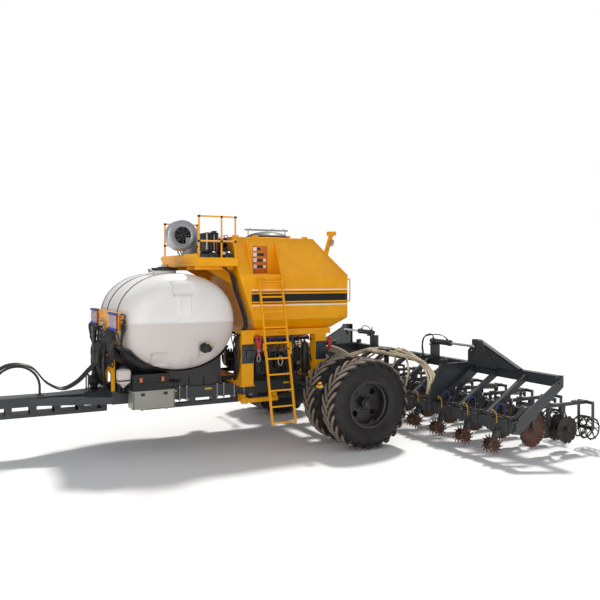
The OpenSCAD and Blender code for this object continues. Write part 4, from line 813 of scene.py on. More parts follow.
def tank_push(x, z, u):
    """How far the skin stands out, at a place on the section, u along the length from -1 to 1."""
    out = 0.0
    if u < -0.55:
        out -= 0.045 * inside(x, -0.16 - z * 0.1, 0.13 + z * 0.05, 0.008) * inside(z, 0.5, 0.74,
            0.012)
        rails = max(inside(x, -0.125, -0.095, 0.006), inside(x, 0.075, 0.105, 0.006))
        rungs = max(inside(z, 0.05 + n * 0.105, 0.075 + n * 0.105, 0.006) for n in range(5))
        out += 0.014 * inside(z, 0.0, 0.5, 0.01) * max(rails, rungs * inside(x, -0.11, 0.09, 0.008))
        out += 0.03 * inside(x, -0.17, 0.13, 0.012) * (1.0 - soft_step(z, -0.66, -0.62))
        out -= 0.045 * inside(x, -0.6, -0.3, 0.01) * inside(z, -0.78, -0.545, 0.012)
        out -= 0.03 * inside(x, 0.28, 0.5, 0.012) * inside(z, -0.7, -0.4, 0.012)
        out += 0.01 * inside(z, -0.008, 0.01, 0.005)
        out -= 0.008 * inside(x - z * 0.55, 0.16, 0.26, 0.02) * inside(z, 0.25, 0.78, 0.02)
    return out

def tank_skin():
    shape = Shape()
    around, along = 168, 150
    rows = []
    for j in range(1, along):
        u = -cos(pi * j / along)
        v = max(0.0, (abs(u) - 0.55) / 0.45)
        grow = (1.0 - v ** 3.2) ** (1.0 / 3.2)
        rib = 0.01 * max(inside(abs(u), n - 0.014, n + 0.014, 0.012) for n in (0.13, 0.3, 0.5))
        row = []
        for i in range(around):
            t = tau * i / around
            x = TANK_A * squared(cos(t), OVAL) * grow
            z = TANK_B * squared(sin(t), OVAL) * grow
            push = tank_push(x, z, u)
            seam = 0.006 * inside(z, -0.012, 0.012, 0.006)
            scale = 1.0 - 0.004 - rib * 0.6 + seam
            y = u * TANK_L - (push if u < 0 else -push) * soft_step(abs(u), 0.55, 0.85)
            row.append(shape.bm.verts.new(at(TANK[0] + x * scale, y, TANK[1] + z * scale)))
        rows.append(row)
    return shape.loft(rows)
skin = tank_skin()

# %% [markdown]
# ## Neck of the tank
# The neck is moulded in one with the tank, so it goes into the same mesh: a short tube for the
# cap, and two pairs of ears that carry the cap's hinge.

# %% Tank neck
NECK_Z = 3.35
skin.lathe([(0.2, NECK_Z - 0.05), (0.222, NECK_Z - 0.05), (0.222, NECK_Z + 0.058),
    (0.2, NECK_Z + 0.058)], (TANK[0], 0.0, 0.0), "Z", 64)
skin.box((TANK[0] - 0.318, -0.08, NECK_Z + 0.01), (TANK[0] - 0.2, -0.064, NECK_Z + 0.058))
skin.box((TANK[0] - 0.318, 0.064, NECK_Z + 0.01), (TANK[0] - 0.2, 0.08, NECK_Z + 0.058))
for y in (-0.072, 0.072):
    skin.box((TANK[0] - 0.318, y - 0.008, NECK_Z + 0.03), (TANK[0] - 0.286, y + 0.008, NECK_Z + 0.09))
piece("moulded_liquid_tank", "chassis", white_plastic, skin, ("liquid_tank",), 40.0)

# %% [markdown]
# ## Cap and valve of the tank
# The filling cap is a wide black screw lid with grip ribs. The outlet low on the end is a flanged
# ball valve. Its handle is the CAD piece.

# %% Tank fittings
def tank_cap():
    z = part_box("tank_lid")[0][2]
    c = (TANK[0], 0.0, 0.0)
    shape = Shape()
    shape.lathe([(0.0, z), (0.262, z), (0.268, z + 0.006), (0.268, z + 0.04), (0.258, z + 0.05),
        (0.226, z + 0.052), (0.22, z + 0.044), (0.15, z + 0.052), (0.144, z + 0.07),
        (0.06, z + 0.08), (0.0, z + 0.08)], c, "Z", 72)
    grip = Shape().box((TANK[0] + 0.258, -0.009, z + 0.006), (TANK[0] + 0.2698, 0.009, z + 0.04),
        0.003)
    shape.take(turned(grip, 36, (TANK[0], 0.0, z), (0.0, 0.0, 1.0), black_moulding))
    shape.rod((TANK[0] - 0.345, 0.0, z + 0.013), (TANK[0] - 0.24, 0.0, z + 0.013), 0.012)
    shape.box((TANK[0] - 0.31, -0.055, z + 0.002), (TANK[0] - 0.23, 0.055, z + 0.026))
    shape.rod((TANK[0] - 0.3, -0.06, z + 0.013), (TANK[0] - 0.3, 0.06, z + 0.013), 0.013)
    shape.take(pipe([(TANK[0] - 0.06, 0.0, z + 0.06), (TANK[0] - 0.058, 0.0, z + 0.105),
        (TANK[0] - 0.03, 0.0, z + 0.112), (TANK[0] + 0.03, 0.0, z + 0.112),
        (TANK[0] + 0.058, 0.0, z + 0.105), (TANK[0] + 0.06, 0.0, z + 0.06)], 0.009, black_moulding))
    return shape
piece("tank_filling_cap", "tank_cap", black_moulding, tank_cap(), ("tank_lid",))

VALVE = (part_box("valve_handle")[0][0] - AXLE_X + 0.02, -1.38, 1.974)
def outlet_valve():
    x, y, z = VALVE
    shape = Shape()
    c = (x, 0.0, z)
    shape.lathe([(0.0, y + 0.03), (0.094, y + 0.03), (0.095, y - 0.016), (0.088, y - 0.021),
        (0.055, y - 0.022), (0.046, y - 0.03), (0.046, y - 0.055), (0.058, y - 0.062),
        (0.064, y - 0.1), (0.058, y - 0.138), (0.046, y - 0.145), (0.046, y - 0.188),
        (0.058, y - 0.19), (0.06, y - 0.213), (0.03, y - 0.214), (0.028, y - 0.19),
        (0.0, y - 0.19)], c, sides=48)
    shape.take(bolt_circle((x, y - 0.022, z), 0.074, 6, -1.0, 0.009, 0.5))
    shape.lathe([(0.0141, z + 0.04), (0.03, z + 0.04), (0.028, z + 0.078), (0.0141, z + 0.08)],
        (x, y - 0.1, 0.0), "Z", 24)
    for side in (-1, 1):
        shape.take(pipe([(x + side * 0.058, y - 0.205, z - 0.01),
            (x + side * 0.085, y - 0.2, z + 0.03), (x + side * 0.08, y - 0.17, z + 0.06)], 0.005,
            zinc))
    return shape
piece("tank_outlet_valve", "chassis", black_moulding, outlet_valve(), ("tank_valve",))

# %% [markdown]
# ## Straps and trough
# The tank lies in a folded trough and is held by flat straps, with a tensioner on each. A band
# is a rectangle swept along the tank's own oval, so one function makes the straps and the sheet.

# %% Straps and trough
STRAP_STEPS = 96
def strap_path(y):
    places = [tank_section(tau * (n / STRAP_STEPS), 0.0015) for n in range(STRAP_STEPS + 1)]
    return [(x, y, z) for x, z in places]
def band(path, width, thick, shape):
    """A flat strip along a path round the tank, thick on the outer side."""
    rows = []
    for n, p in enumerate(path):
        a, b = Vector(path[max(0, n - 1)]), Vector(path[min(len(path) - 1, n + 1)])
        out = (b - a).normalized().cross(Vector((0.0, 1.0, 0.0))).normalized()
        if out.dot(Vector(p) - Vector((TANK[0], p[1], TANK[1]))) < 0:
            out.negate()
        rows.append([shape.bm.verts.new(at(*(Vector(p) + Vector(
            (0.0, side * width / 2, 0.0)) + out * lift))) for side,
            lift in ((-1, 0.0), (1, 0.0), (1, thick), (-1, thick))])
    shape.loft(rows)

def straps():
    shape = Shape()
    for y in (-0.6, 0.31, 0.9):
        band(strap_path(y), 0.04, 0.005, shape)
        x = TANK[0] - TANK_A - 0.012
        shape.rod((x, y, TANK[1] - 0.07), (x, y, TANK[1] + 0.07), 0.007)
        shape.box((x - 0.012, y - 0.024, TANK[1] + 0.05), (x + 0.016, y + 0.024, TANK[1] + 0.075))
        shape.box((x - 0.012, y - 0.024, TANK[1] - 0.075), (x + 0.016, y + 0.024, TANK[1] - 0.05))
    return shape
def trough_line(steps, stand):
    """The part of the oval that lies in the trough, from the front edge to the rear one."""
    return [tank_section(pi * (1.17 + 0.66 * n / steps), stand) for n in range(steps + 1)]
def trough():
    """Folded plate that the tank lies in, with stiffening ribs under it."""
    shape = Shape()
    low, wide = 1.165, 0.034
    for y in (-0.6, 0.6):
        outline = trough_line(24, 0.002)
        left, right = outline[0][0], outline[-1][0]
        shape.plate(outline + [(right, low), (left, low)], y - wide, y + wide, edge=0.0)
        for n in range(7):
            x = left + 0.05 + (right - left - 0.1) * n / 6
            shape.box((x - 0.006, y - 0.06, low), (x + 0.006, y + 0.06, low + 0.16))
    sheet = trough_line(32, 0.003)
    for y in (-0.85, -0.3, 0.0, 0.3, 0.85):
        band([(x, y, z) for x, z in sheet], 0.44 if abs(y) > 0.5 else 0.3, 0.006, shape)
    return shape
both = straps()
both.take(trough().mesh())
piece("tank_trough_and_straps", "chassis", black_paint, both, ("tank_cradle",))

# %% [markdown]
# ## Ground tools
# A coulter blade is a thin disc whose outer part is pressed into waves. A closing disc is dished
# and notched, a row cleaner is a wheel of bent fingers, and the basket is a cage of twisted bars.
# One of each is shaped on a polar grid or from an outline, and the stepping tree sets it out on
# the row spacing.

# %% Discs
ROW = 0.762
SECTIONS = {"center": (-2.5 * ROW, 6), "left": (-2.286 - 2.5 * ROW, 3), "right": (2.286 + 0.5 * ROW, 3)}
def disc(centre, radius, thick, push, rim, rings=7, sides=120, hole=0.03):
    """push(share, angle): how far the blade stands to one side. rim(angle): share of the radius."""
    shape = Shape()
    x, y, z = centre
    faces = []
    for side in (-1, 1):
        grid = []
        for n in range(sides):
            a = tau * n / sides
            line = []
            for k in range(rings + 1):
                share = k / rings
                r = hole + (radius * rim(a) - hole) * share
                edge = thick if k < rings else thick * 0.25
                line.append(shape.bm.verts.new(at(x + r * cos(a),
                    y + push(share, a) + side * edge / 2, z + r * sin(a))))
            grid.append(line)
        faces.append(grid)
        for n in range(sides):
            one, two = grid[n], grid[(n + 1) % sides]
            for k in range(rings):
                shape.bm.faces.new([one[k], one[k + 1], two[k + 1], two[k]])
    for n in range(sides):
        m = (n + 1) % sides
        for k in (0, rings):
            shape.bm.faces.new([faces[0][n][k], faces[1][n][k], faces[1][m][k], faces[0][m][k]])
    return shape

def flange(shape, centre, side, radius=0.07, deep=0.016, count=5):
    x, y, z = centre
    shape.lathe([(0.0185, y), (radius, y), (radius, y + side * deep * 0.6),
        (radius * 0.8, y + side * deep), (0.0185, y + side * deep)], (x, 0.0, z), sides=32)
    shape.take(bolt_circle((x, y + side * deep, z), radius * 0.72, count, side, 0.007))

# %% [markdown]
# ## Blades, discs and cleaners
# Each tool is its own rule given to the disc: waves for the coulter, notches and a dish for the
# closing discs. The row cleaner is an outline of bent fingers, cut from plate.

# %% Blades and cleaners
COULTER = (2.4, 0.48, 0.318)
def coulter(y):
    wave = lambda share, a: 0.013 * soft_step(share, 0.45, 0.95) * sin(20 * a)
    shape = disc((COULTER[0], y, COULTER[1]), COULTER[2], 0.005, wave, lambda a: 1.0, hole=0.019)
    for side in (-1, 1):
        flange(shape, (COULTER[0], y + side * 0.0025, COULTER[1]), side, deep=0.022)
    return shape
CLOSER = (3.16, 0.43, 0.258)
def closers(y):
    whole = Shape()
    for side in (-1, 1):
        notch = lambda a: 1.0 - 0.1 * max(0.0, cos(12 * a)) ** 3
        dish = lambda share, a: side * 0.022 * share * share
        one = disc((CLOSER[0], y + side * 0.105, CLOSER[1]), CLOSER[2], 0.006, dish, notch, hole=0.019)
        for face in (-1, 1):
            flange(one, (CLOSER[0], y + side * 0.105 + face * 0.003, CLOSER[1]), face, 0.06, 0.02)
        whole.take(one.mesh())
    return whole
CLEANER = (1.43, 0.33, 0.168)
def cleaners(y):
    whole = Shape()
    for side in (-1, 1):
        outline = []
        fingers = 12
        for n in range(fingers):
            a = tau * n / fingers
            for turn, r in ((0.0, 0.1), (0.1, 0.11), (0.26, 0.15), (0.36, 0.168), (0.42, 0.164),
                    (0.37, 0.142), (0.33, 0.112)):
                outline.append((CLEANER[0] + r * cos(a + turn),
                    CLEANER[1] + r * sin(a + turn)))
        base = y + side * 0.095
        one = Shape().plate(outline, base - 0.005, base + 0.005, edge=0.0015)
        for face in (-1, 1):
            flange(one, (CLEANER[0], base + face * 0.005, CLEANER[1]), face, 0.062, 0.018)
        whole.take(one.mesh())
    return whole

# %% [markdown]
# ## Rolling basket
# Three spoked rings carry ten bars that twist a little from end to end. One bar is a pipe on a
# twisted path, and the turning tree makes the rest. Then every tool is stepped along its section.

# %% Basket and sets of tools
BASKET = (3.8, 0.39, 0.228, 0.146)
def basket(y):
    x, z, r, half = BASKET
    whole = Shape()
    for side in (-1.0, 0.0, 1.0):
        face = y + side * half
        whole.lathe([(r - 0.05, face - 0.004), (r - 0.02, face - 0.004), (r - 0.02, face + 0.004),
            (r - 0.05, face + 0.004)], (x, 0.0, z), sides=40)
        for n in range(5):
            a = tau * n / 5
            c, s = cos(a), sin(a)
            whole.rod((x + 0.02 * c, face, z + 0.02 * s),
                (x + (r - 0.045) * c, face, z + (r - 0.045) * s), 0.009, sides=6)
    whole.lathe([(0.0185, y - half), (0.034, y - half), (0.034, y + half), (0.0185, y + half)],
        (x, 0.0, z), sides=24)
    twist = 0.5
    line = [(x + (r - 0.014) * cos(twist * t), y + half * t,
        z + (r - 0.014) * sin(twist * t)) for t in (-1.0, -0.5, 0.0, 0.5, 1.0)]
    bar = Shape().take(pipe(line, 0.01, dark_disc, 6, 2))
    whole.take(turned(bar, 10, (x, y, z), finish=dark_disc))
    return whole
TOOLS = (("coulters", "coulter_discs", coulter, rust_disc, "wavy_coulters", "rust_steel"),
         ("cleaners", "cleaner_wheels", cleaners, rust_disc, "fingered_row_cleaners", "rust_steel"),
         ("closers", "closing_discs", closers, dark_disc, "notched_closing_discs", "black_steel"),
         ("baskets", "basket_cages", basket, dark_disc, "rolling_baskets", "black_steel"))
for section, (first, count) in SECTIONS.items():
    for node, body, make, finish, name, slot in TOOLS:
        mesh = stepped(make(first).mesh(), count, (0.0, ROW, 0.0), finish)
        piece(f"{name}_{section}", f"{body}_{section}", finish, mesh, (f"{node}_{section}",))

# %% [markdown]
# ## What is bolted to the row units
# Each unit carries a spring, a spray line and stiffeners on its arm. They ride with the arm.

# %% Row unit fittings
def unit_fittings(y):
    shape = Shape()
    for side in (-1, 1):
        shape.plate([(1.86, 0.7), (2.16, 0.84), (2.2, 0.9), (2.05, 0.905), (1.84, 0.74)],
            y + side * 0.031, y + side * 0.039)
        shape.box((2.34, y + side * 0.046 - 0.004, 0.7), (2.46, y + side * 0.046 + 0.004, 0.9), 0.003)
        shape.box((3.1, y + side * 0.029 - 0.004, 0.72), (3.22, y + side * 0.029 + 0.004, 0.86), 0.003)
    for x in (2.02, 2.8, 3.45):
        shape.box((x, y - 0.045, 0.905), (x + 0.12, y + 0.045, 0.925), 0.004)
    places = [((x + t, y + s, 0.925), (0.0, 0.0, 1.0)) for x in (2.02, 2.8, 3.45)
        for t in (0.025, 0.095) for s in (-0.03, 0.03)]
    places += [((x, y + side * 0.05, z), (0.0, side, 0.0)) for side in (-1, 1) for x,
        z in ((2.37, 0.86), (2.43, 0.86), (2.37, 0.75), (2.43, 0.75))]
    shape.take(bolts(places, 0.009))
    shape.box((2.56, y - 0.02, 0.925), (2.6, y + 0.02, 1.06), 0.004)
    shape.box((2.96, y - 0.02, 0.925), (3.0, y + 0.02, 1.02), 0.004)
    coil = [(2.6 + 0.36 * n / 96, y + 0.03 * cos(n * tau / 8),
        1.02 - 0.025 * n / 96 + 0.03 * sin(n * tau / 8)) for n in range(97)]
    shape.take(pipe(coil, 0.006, black_paint, 6, 1))
    shape.rod((2.57, y, 1.02), (2.99, y, 0.99), 0.009)
    return shape
def unit_lines(y):
    shape = Shape()
    shape.take(pipe([(1.92, y + 0.05, 0.8), (2.05, y + 0.055, 0.93), (2.4, y + 0.06, 0.945),
        (2.62, y + 0.06, 0.9), (2.7, y + 0.045, 0.66), (2.72, y + 0.04, 0.42)], 0.011, black_hose, 8))
    shape.take(pipe([(1.92, y - 0.05, 0.8), (2.1, y - 0.06, 0.95), (2.5, y - 0.06, 0.94),
        (2.78, y - 0.05, 0.8), (2.8, y - 0.045, 0.5)], 0.011, black_hose, 8))
    shape.box((2.66, y - 0.035, 0.3), (2.82, y + 0.035, 0.32), 0.003)
    shape.plate([(2.7, 0.32), (2.82, 0.32), (2.84, 0.86), (2.76, 0.86)], y - 0.008, y + 0.008)
    return shape
for section, (first, count) in SECTIONS.items():
    mesh = stepped(unit_fittings(first).mesh(), count, (0.0, ROW, 0.0), worn_graphite)
    piece(f"row_unit_springs_{section}", f"row_units_{section}", worn_graphite, mesh)
    mesh = stepped(unit_lines(first).mesh(), count, (0.0, ROW, 0.0), black_hose)
    piece(f"row_unit_lines_{section}", f"row_units_{section}", black_hose, mesh, ())

# %% [markdown]
# ## Hoses on the toolbar
# Liquid runs in black lines along the front beam, and coloured lines drop from them at each row.
# Clamps hold the lines and the row units' brackets to the beam. Each section has its own lines,
# so that nothing is torn when a wing folds.

# %% Toolbar plumbing
BAR_TOP = 0.76
def row_places(section):
    first, count = SECTIONS[section]
    return [first + n * ROW for n in range(count)]
def run_along(section, x, z, wave=0.006):
    """A slightly wavy path along the beam, over all the rows of a section."""
    ys = row_places(section)
    ends = (ys[0] - 0.26, ys[-1] + 0.26)
    steps = len(ys) * 5
    return [(x + wave * sin(n * 1.7 + x * 40), ends[0] + (ends[1] - ends[0]) * n / steps,
        z + wave * cos(n * 2.3 + x * 60)) for n in range(steps + 1)]
for section in SECTIONS:
    body = f"bar_{section}"
    lines, colour_lines, yellow_lines = Shape(), Shape(), Shape()
    for k, (x, z) in enumerate(((1.6, 0.785), (1.635, 0.785), (1.67, 0.785), (1.62, 0.815),
            (1.655, 0.815))):
        lines.take(pipe(run_along(section, x, z), 0.016 - 0.001 * k, black_hose, 8, 3))
    for y in row_places(section):
        lines.take(pipe([(1.66, y - 0.09, 0.82), (1.71, y - 0.08, 0.9), (1.76, y - 0.055, 0.86),
            (1.765, y - 0.055, 0.775)], 0.012, black_hose, 8))
        lines.take(pipe([(1.66, y - 0.2, 0.82), (1.74, y - 0.17, 1.02), (1.84, y - 0.08, 1.1),
            (1.86, y - 0.02, 1.02), (1.8, y + 0.02, 0.9), (1.765, y + 0.045, 0.775)], 0.01,
            black_hose, 8))
        colour_lines.take(pipe([(1.62, y + 0.1, 0.83), (1.68, y + 0.13, 0.96), (1.77, y + 0.1, 1.0),
            (1.8, y + 0.07, 0.9), (1.765, y + 0.06, 0.775)], 0.007, blue_line, 6))
        yellow_lines.take(pipe([(1.63, y + 0.22, 0.83), (1.6, y + 0.18, 0.9), (1.56, y + 0.05, 0.87),
            (1.545, y, 0.8), (1.53, y - 0.02, 0.7)], 0.006, yellow_line, 6))
    piece(f"toolbar_liquid_lines_{section}", body, black_hose, lines, ())
    piece(f"toolbar_blue_lines_{section}", body, blue_line, colour_lines)
    piece(f"toolbar_yellow_lines_{section}", body, yellow_line, yellow_lines)
    metal = Shape()
    places = []
    for y in row_places(section):
        metal.box((1.575, y - 0.3, BAR_TOP), (1.7, y - 0.27, BAR_TOP + 0.085), 0.003)
        metal.box((1.712, y - 0.075, 0.735), (1.79, y + 0.075, 0.775), 0.004)
        for s in (-0.2, 0.2):
            metal.box((1.545, y + s - 0.05, 0.54), (1.56, y + s + 0.05, 0.78), 0.003)
            metal.box((1.71, y + s - 0.05, 0.54), (1.725, y + s + 0.05, 0.78), 0.003)
            places += [((1.545, y + s + t, z), (-1.0, 0.0, 0.0)) for t in (-0.032, 0.032)
                for z in (0.56, 0.76)]
    metal.take(bolts(places, 0.014))
    piece(f"row_clamps_{section}", body, worn_graphite, metal)

# %% [markdown]
# ## Distributor and its tubes
# A riser carries the dry product up to a round head with twelve outlets. Each pale tube leaves its
# own outlet level, bends over and goes down to its row, and the outer ones to the wings' hinges.

# %% Distributor
HEAD_X, HEAD_Z, OUTLETS = 2.05, 1.55, 12
def outlet_angle(n):
    return tau * (n + 0.5) / OUTLETS
def distributor():
    line = [(0.0, 0.78), (0.06, 0.78), (0.06, 1.42), (0.075, 1.44), (0.19, 1.5), (0.2, 1.56),
        (0.19, 1.6), (0.06, 1.63), (0.0, 1.63)]
    shape = Shape().lathe(line, (HEAD_X, 0.0, 0.0), "Z", 40)
    shape.box((1.99, -0.1, 0.745), (2.11, 0.1, 0.79))
    shape.box((1.64, -0.05, 0.745), (2.02, 0.05, 0.775))
    for n in range(OUTLETS):
        c, s = cos(outlet_angle(n)), sin(outlet_angle(n))
        shape.rod((HEAD_X + 0.17 * c, 0.17 * s, HEAD_Z), (HEAD_X + 0.26 * c, 0.26 * s, HEAD_Z), 0.022,
            sides=12)
    return shape
piece("product_distributor", "bar_center", black_moulding, distributor())
def pale_tubes():
    shape = Shape()
    far = [-2.2, -2.12, -2.04, 2.04, 2.12, 2.2]
    order = sorted(range(OUTLETS), key=lambda n: sin(outlet_angle(n)))
    ends = sorted([(y, 1.745, 0.79) for y in row_places("center")] + [(y, 1.66, 0.86) for y in far])
    for n, (y, x, z) in zip(order, ends):
        c, s = cos(outlet_angle(n)), sin(outlet_angle(n))
        start = (HEAD_X + 0.24 * c, 0.24 * s, HEAD_Z)
        knee = (HEAD_X + 0.46 * c, 0.46 * s, HEAD_Z + 0.01)
        way = max(-1.0, min(1.0, (y - knee[1]) / 2))
        shape.take(pipe([start, knee, (2.16 + 0.05 * c, knee[1] + (y - knee[1]) * 0.45, 1.42),
            (1.96, knee[1] + (y - knee[1]) * 0.85, 1.18), (x + 0.06, y - 0.02 * way, 0.97), (x, y, z)],
            0.024, pale_hose, 10))
    return shape
piece("pale_product_tubes", "bar_center", pale_hose, pale_tubes())

# %% [markdown]
# ## Rams of the folding frame
# Each barrel gets its gland, two ports and the pair of hoses that feed them.

# %% Folding frame details
def barrel(side):
    """One ram's barrel with its two ports, and hoses down to a block on the centre frame."""
    shape = Shape()
    x, z = 2.45, 1.86
    y0, y1 = 1.18, 1.84
    line = [(0.0, y0 - 0.002), (0.055, y0 - 0.002), (0.06, y0 + 0.006), (0.06, y1 - 0.07),
        (0.066, y1 - 0.065), (0.066, y1 - 0.004), (0.06, y1), (0.03, y1), (0.03, y1 - 0.03),
        (0.0, y1 - 0.03)]
    shape.lathe([(r, side * y) for r, y in line], (x, 0.0, z), sides=40)
    for y in (y0 + 0.07, y1 - 0.12):
        shape.lathe([(0.0, z + 0.055), (0.022, z + 0.055), (0.022, z + 0.085), (0.0, z + 0.085)],
            (x, side * y, 0.0), "Z", 16)
    shape.take(pipe([(x, side * (y0 + 0.07), z + 0.08), (x - 0.02, side * (y0 + 0.02), z + 0.15),
        (x - 0.1, side * (y0 - 0.1), z + 0.1), (x - 0.12, side * (y0 - 0.16), z - 0.1),
        (x - 0.05, side * (y0 - 0.2), z - 0.34)], 0.012, black_hose, 8))
    shape.take(pipe([(x, side * (y1 - 0.12), z + 0.08), (x - 0.03, side * (y1 - 0.25), z + 0.15),
        (x - 0.06, side * (y0 + 0.16), z + 0.15), (x - 0.14, side * (y0 - 0.08), z + 0.08),
        (x - 0.14, side * (y0 - 0.16), z - 0.12), (x - 0.09, side * (y0 - 0.2), z - 0.34)], 0.012,
        black_hose, 8))
    shape.box((x - 0.14, side * (y0 - 0.2) - 0.05, z - 0.37),
        (x + 0.12, side * (y0 - 0.2) + 0.05, z - 0.34))
    return shape
pair = barrel(-1)
pair.take(barrel(1).mesh())
piece("fold_cylinder_barrels", "bar_center", black_paint, pair, ("fold_barrels",))

# %% [markdown]
# ## Braces and wear plates of the wings
# Each wing has a tapered brace of two plates with a top strip between them, bolted end plates,
# and thin wear plates where the beam is clamped. They ride the wing.

# %% Wing braces
for side, name in ((-1, "left"), (1, "right")):
    shape = Shape()
    outline = [(side * 2.44, 2.0), (side * 2.6, 2.0), (side * 3.75, 1.53), (side * 3.75, 1.5),
        (side * 2.44, 1.5)]
    for x in (2.505, 2.6):
        shape.plate(outline, x, x + 0.012, "X", 0.003)
    shape.plate([(side * 2.5, 2.0), (side * 2.62, 2.0), (side * 3.75, 1.535), (side * 3.7, 1.525),
        (side * 2.6, 1.975)], 2.505, 2.612, "X", 0.002)
    places = [((1.555, side * y, z), (-1.0, 0.0, 0.0)) for y in (2.34, 2.4)
        for z in (0.6, 0.66, 0.72)]
    places += [((2.765, side * y, z), (1.0, 0.0, 0.0)) for y in (2.34, 2.4)
        for z in (1.34, 1.4, 1.46)]
    places += [((x, side * 4.575, z), (0.0, side, 0.0)) for x,
        z in ((1.62, 0.62), (1.62, 0.72), (2.68, 1.36), (2.68, 1.44), (2.15, 1.08))]
    shape.take(bolts(places, 0.016))
    shape.box((1.63, side * 4.2 - 0.01, 0.51), (1.65, side * 4.2 + 0.01, 0.56), 0.003)
    piece(f"wing_brace_{name}", f"bar_{name}", graphite_paint, shape)
    plates = Shape()
    for y in (2.62, 3.4, 4.1):
        for x in (1.552, 1.7105):
            plates.box((x, side * y - 0.09, 0.545), (x + 0.0075, side * y + 0.09, 0.775), 0.002)
    piece(f"beam_wear_plates_{name}", f"bar_{name}", worn_graphite, plates)

# %% [markdown]
# ## Dry hopper
# The hopper is folded sheet: flanges stand out where two sheets meet, gussets stiffen the recess
# on the ladder side, and lifting lugs sit on the roof. Plates and edges are drawn from the same
# corner lines as the shell, so that they lie on it.

# %% Hopper trim
BAND, ROOF = (2.44, 3.32), 4.07
FRONT, REAR, HALF = -2.16, 0.25, 1.2
ROOF_FRONT, ROOF_REAR, ROOF_HALF = -2.14, -0.33, 0.75
def hopper_trim():
    shape = Shape()
    for s in (-1, 1):
        shape.box((FRONT - 0.004, s * HALF - 0.009, BAND[1] - 0.014),
            (REAR + 0.012, s * HALF + 0.009, BAND[1] + 0.012), 0.003)
        shape.take(pipe([(ROOF_FRONT, s * ROOF_HALF, ROOF), (-1.2, s * ROOF_HALF, ROOF + 0.001),
            (ROOF_REAR, s * ROOF_HALF, ROOF)], 0.011, hopper_yellow, 8, 2))
        shape.take(pipe([(ROOF_REAR, s * ROOF_HALF, ROOF), (-0.05, s * 0.97, 3.7),
            (REAR, s * HALF, BAND[1])], 0.009, hopper_yellow, 8, 2))
        for x in (-2.05, -1.62, -0.5):
            shape.box((x - 0.06, s * 0.72 - 0.03, ROOF - 0.004),
                (x + 0.06, s * 0.72 + 0.03, ROOF + 0.045), 0.008)
            shape.rod((x, s * 0.72 - 0.034, ROOF + 0.022), (x, s * 0.72 + 0.034, ROOF + 0.022), 0.012)
        shape.box((REAR - 0.03, s * HALF - 0.004, BAND[0] + 0.01),
            (REAR + 0.008, s * HALF + 0.008, BAND[1] - 0.01), 0.002)
        shape.box((-1.86, s * HALF - 0.002, BAND[0] + 0.01), (-1.83, s * HALF + 0.006, BAND[1] - 0.01),
            0.002)
        rail = [(REAR, s * 1.16, 3.24), (REAR + 0.07, s * 1.165, 3.235),
            (REAR + 0.085, s * 1.165, 3.2), (REAR + 0.085, s * 1.165, 2.82),
            (REAR + 0.07, s * 1.165, 2.785), (REAR, s * 1.16, 2.78)]
        shape.take(pipe(rail, 0.014, hopper_yellow, 10))
    shape.box((REAR - 0.004, -HALF, BAND[1] - 0.014), (REAR + 0.012, HALF, BAND[1] + 0.012), 0.003)
    for x in (ROOF_FRONT, ROOF_REAR):
        shape.take(pipe([(x, -ROOF_HALF, ROOF), (x, 0.0, ROOF + 0.001), (x, ROOF_HALF, ROOF)], 0.011,
            hopper_yellow, 8, 2))
    cheek = [(-1.205, 3.325), (-0.868, 3.325), (-0.868, 3.93), (-0.835, 3.945), (-0.865, 3.985),
        (-0.9, 3.97)]
    for x in (-1.262, -1.884):
        shape.plate(cheek, x, x + 0.006, "X", 0.0)
    for x in (-1.259, -1.881):
        shape.take(pipe([(x, -1.2, 3.33), (x, -1.06, 3.63), (x, -0.905, 3.965), (x, -0.87, 3.985),
            (x, -0.84, 3.95)], 0.015, hopper_yellow, 8, 4))
    shape.box((-1.89, -1.212, 3.3), (-1.25, -0.87, 3.325), 0.003)
    places = [((x, s * 1.127, 2.18), (0.0, s, 0.0)) for s in (-1, 1)
        for x in (-1.96, -1.5, -1.0, -0.34)]
    places += [((x, s * (HALF + 0.008), 2.46), (0.0, s, 0.0)) for s in (-1, 1)
        for x in (-1.78, -1.2, -0.6, 0.1)]
    places += [((REAR + 0.012, y, 2.5), (1.0, 0.0, 0.0)) for y in (-1.1, -0.55, 0.0, 0.55, 1.1)]
    shape.take(bolts(places, 0.013))
    return shape
piece("hopper_flanges_and_rails", "chassis", hopper_yellow, hopper_trim(), ())

# %% [markdown]
# ## Notice board
# Beside the ladder is a board of small plates. They are left blank: an orange back, white squares
# and dark strips, each a thin plate that stands a few millimetres off the one behind.

# %% Notice board
BOARD_Y, PLATE_Y = -0.874, -0.877
notice_orange = paint("notice_panel_orange", rgb(206, 112, 14), 0.4, 0.05, coat=0.1)
back = Shape().box((-1.74, BOARD_Y, 3.36), (-1.42, BOARD_Y + 0.006, 3.9), 0.001)
piece("notice_board", "chassis", notice_orange, back)
plates = Shape()
for row, z in enumerate((3.8, 3.69, 3.58, 3.45)):
    plates.box((-1.73, PLATE_Y, z), (-1.655, BOARD_Y, z + 0.075), 0.001)
    if row > 1:
        plates.box((-1.51, PLATE_Y, z + 0.01), (-1.45, BOARD_Y, z + 0.065), 0.001)
piece("blank_white_plates", "chassis", white_valve, plates)
plates = Shape()
for z, far in ((3.81, -1.58), (3.7, -1.5), (3.585, -1.53), (3.46, -1.53)):
    plates.box((-1.645, PLATE_Y, z), (far, BOARD_Y, z + 0.055), 0.001)
piece("blank_dark_plates", "chassis", black_moulding, plates)

# %% [markdown]
# ## Hatch
# The hatch is a dished steel lid pulled down by a bar across it. The bar has two pegs to grip.

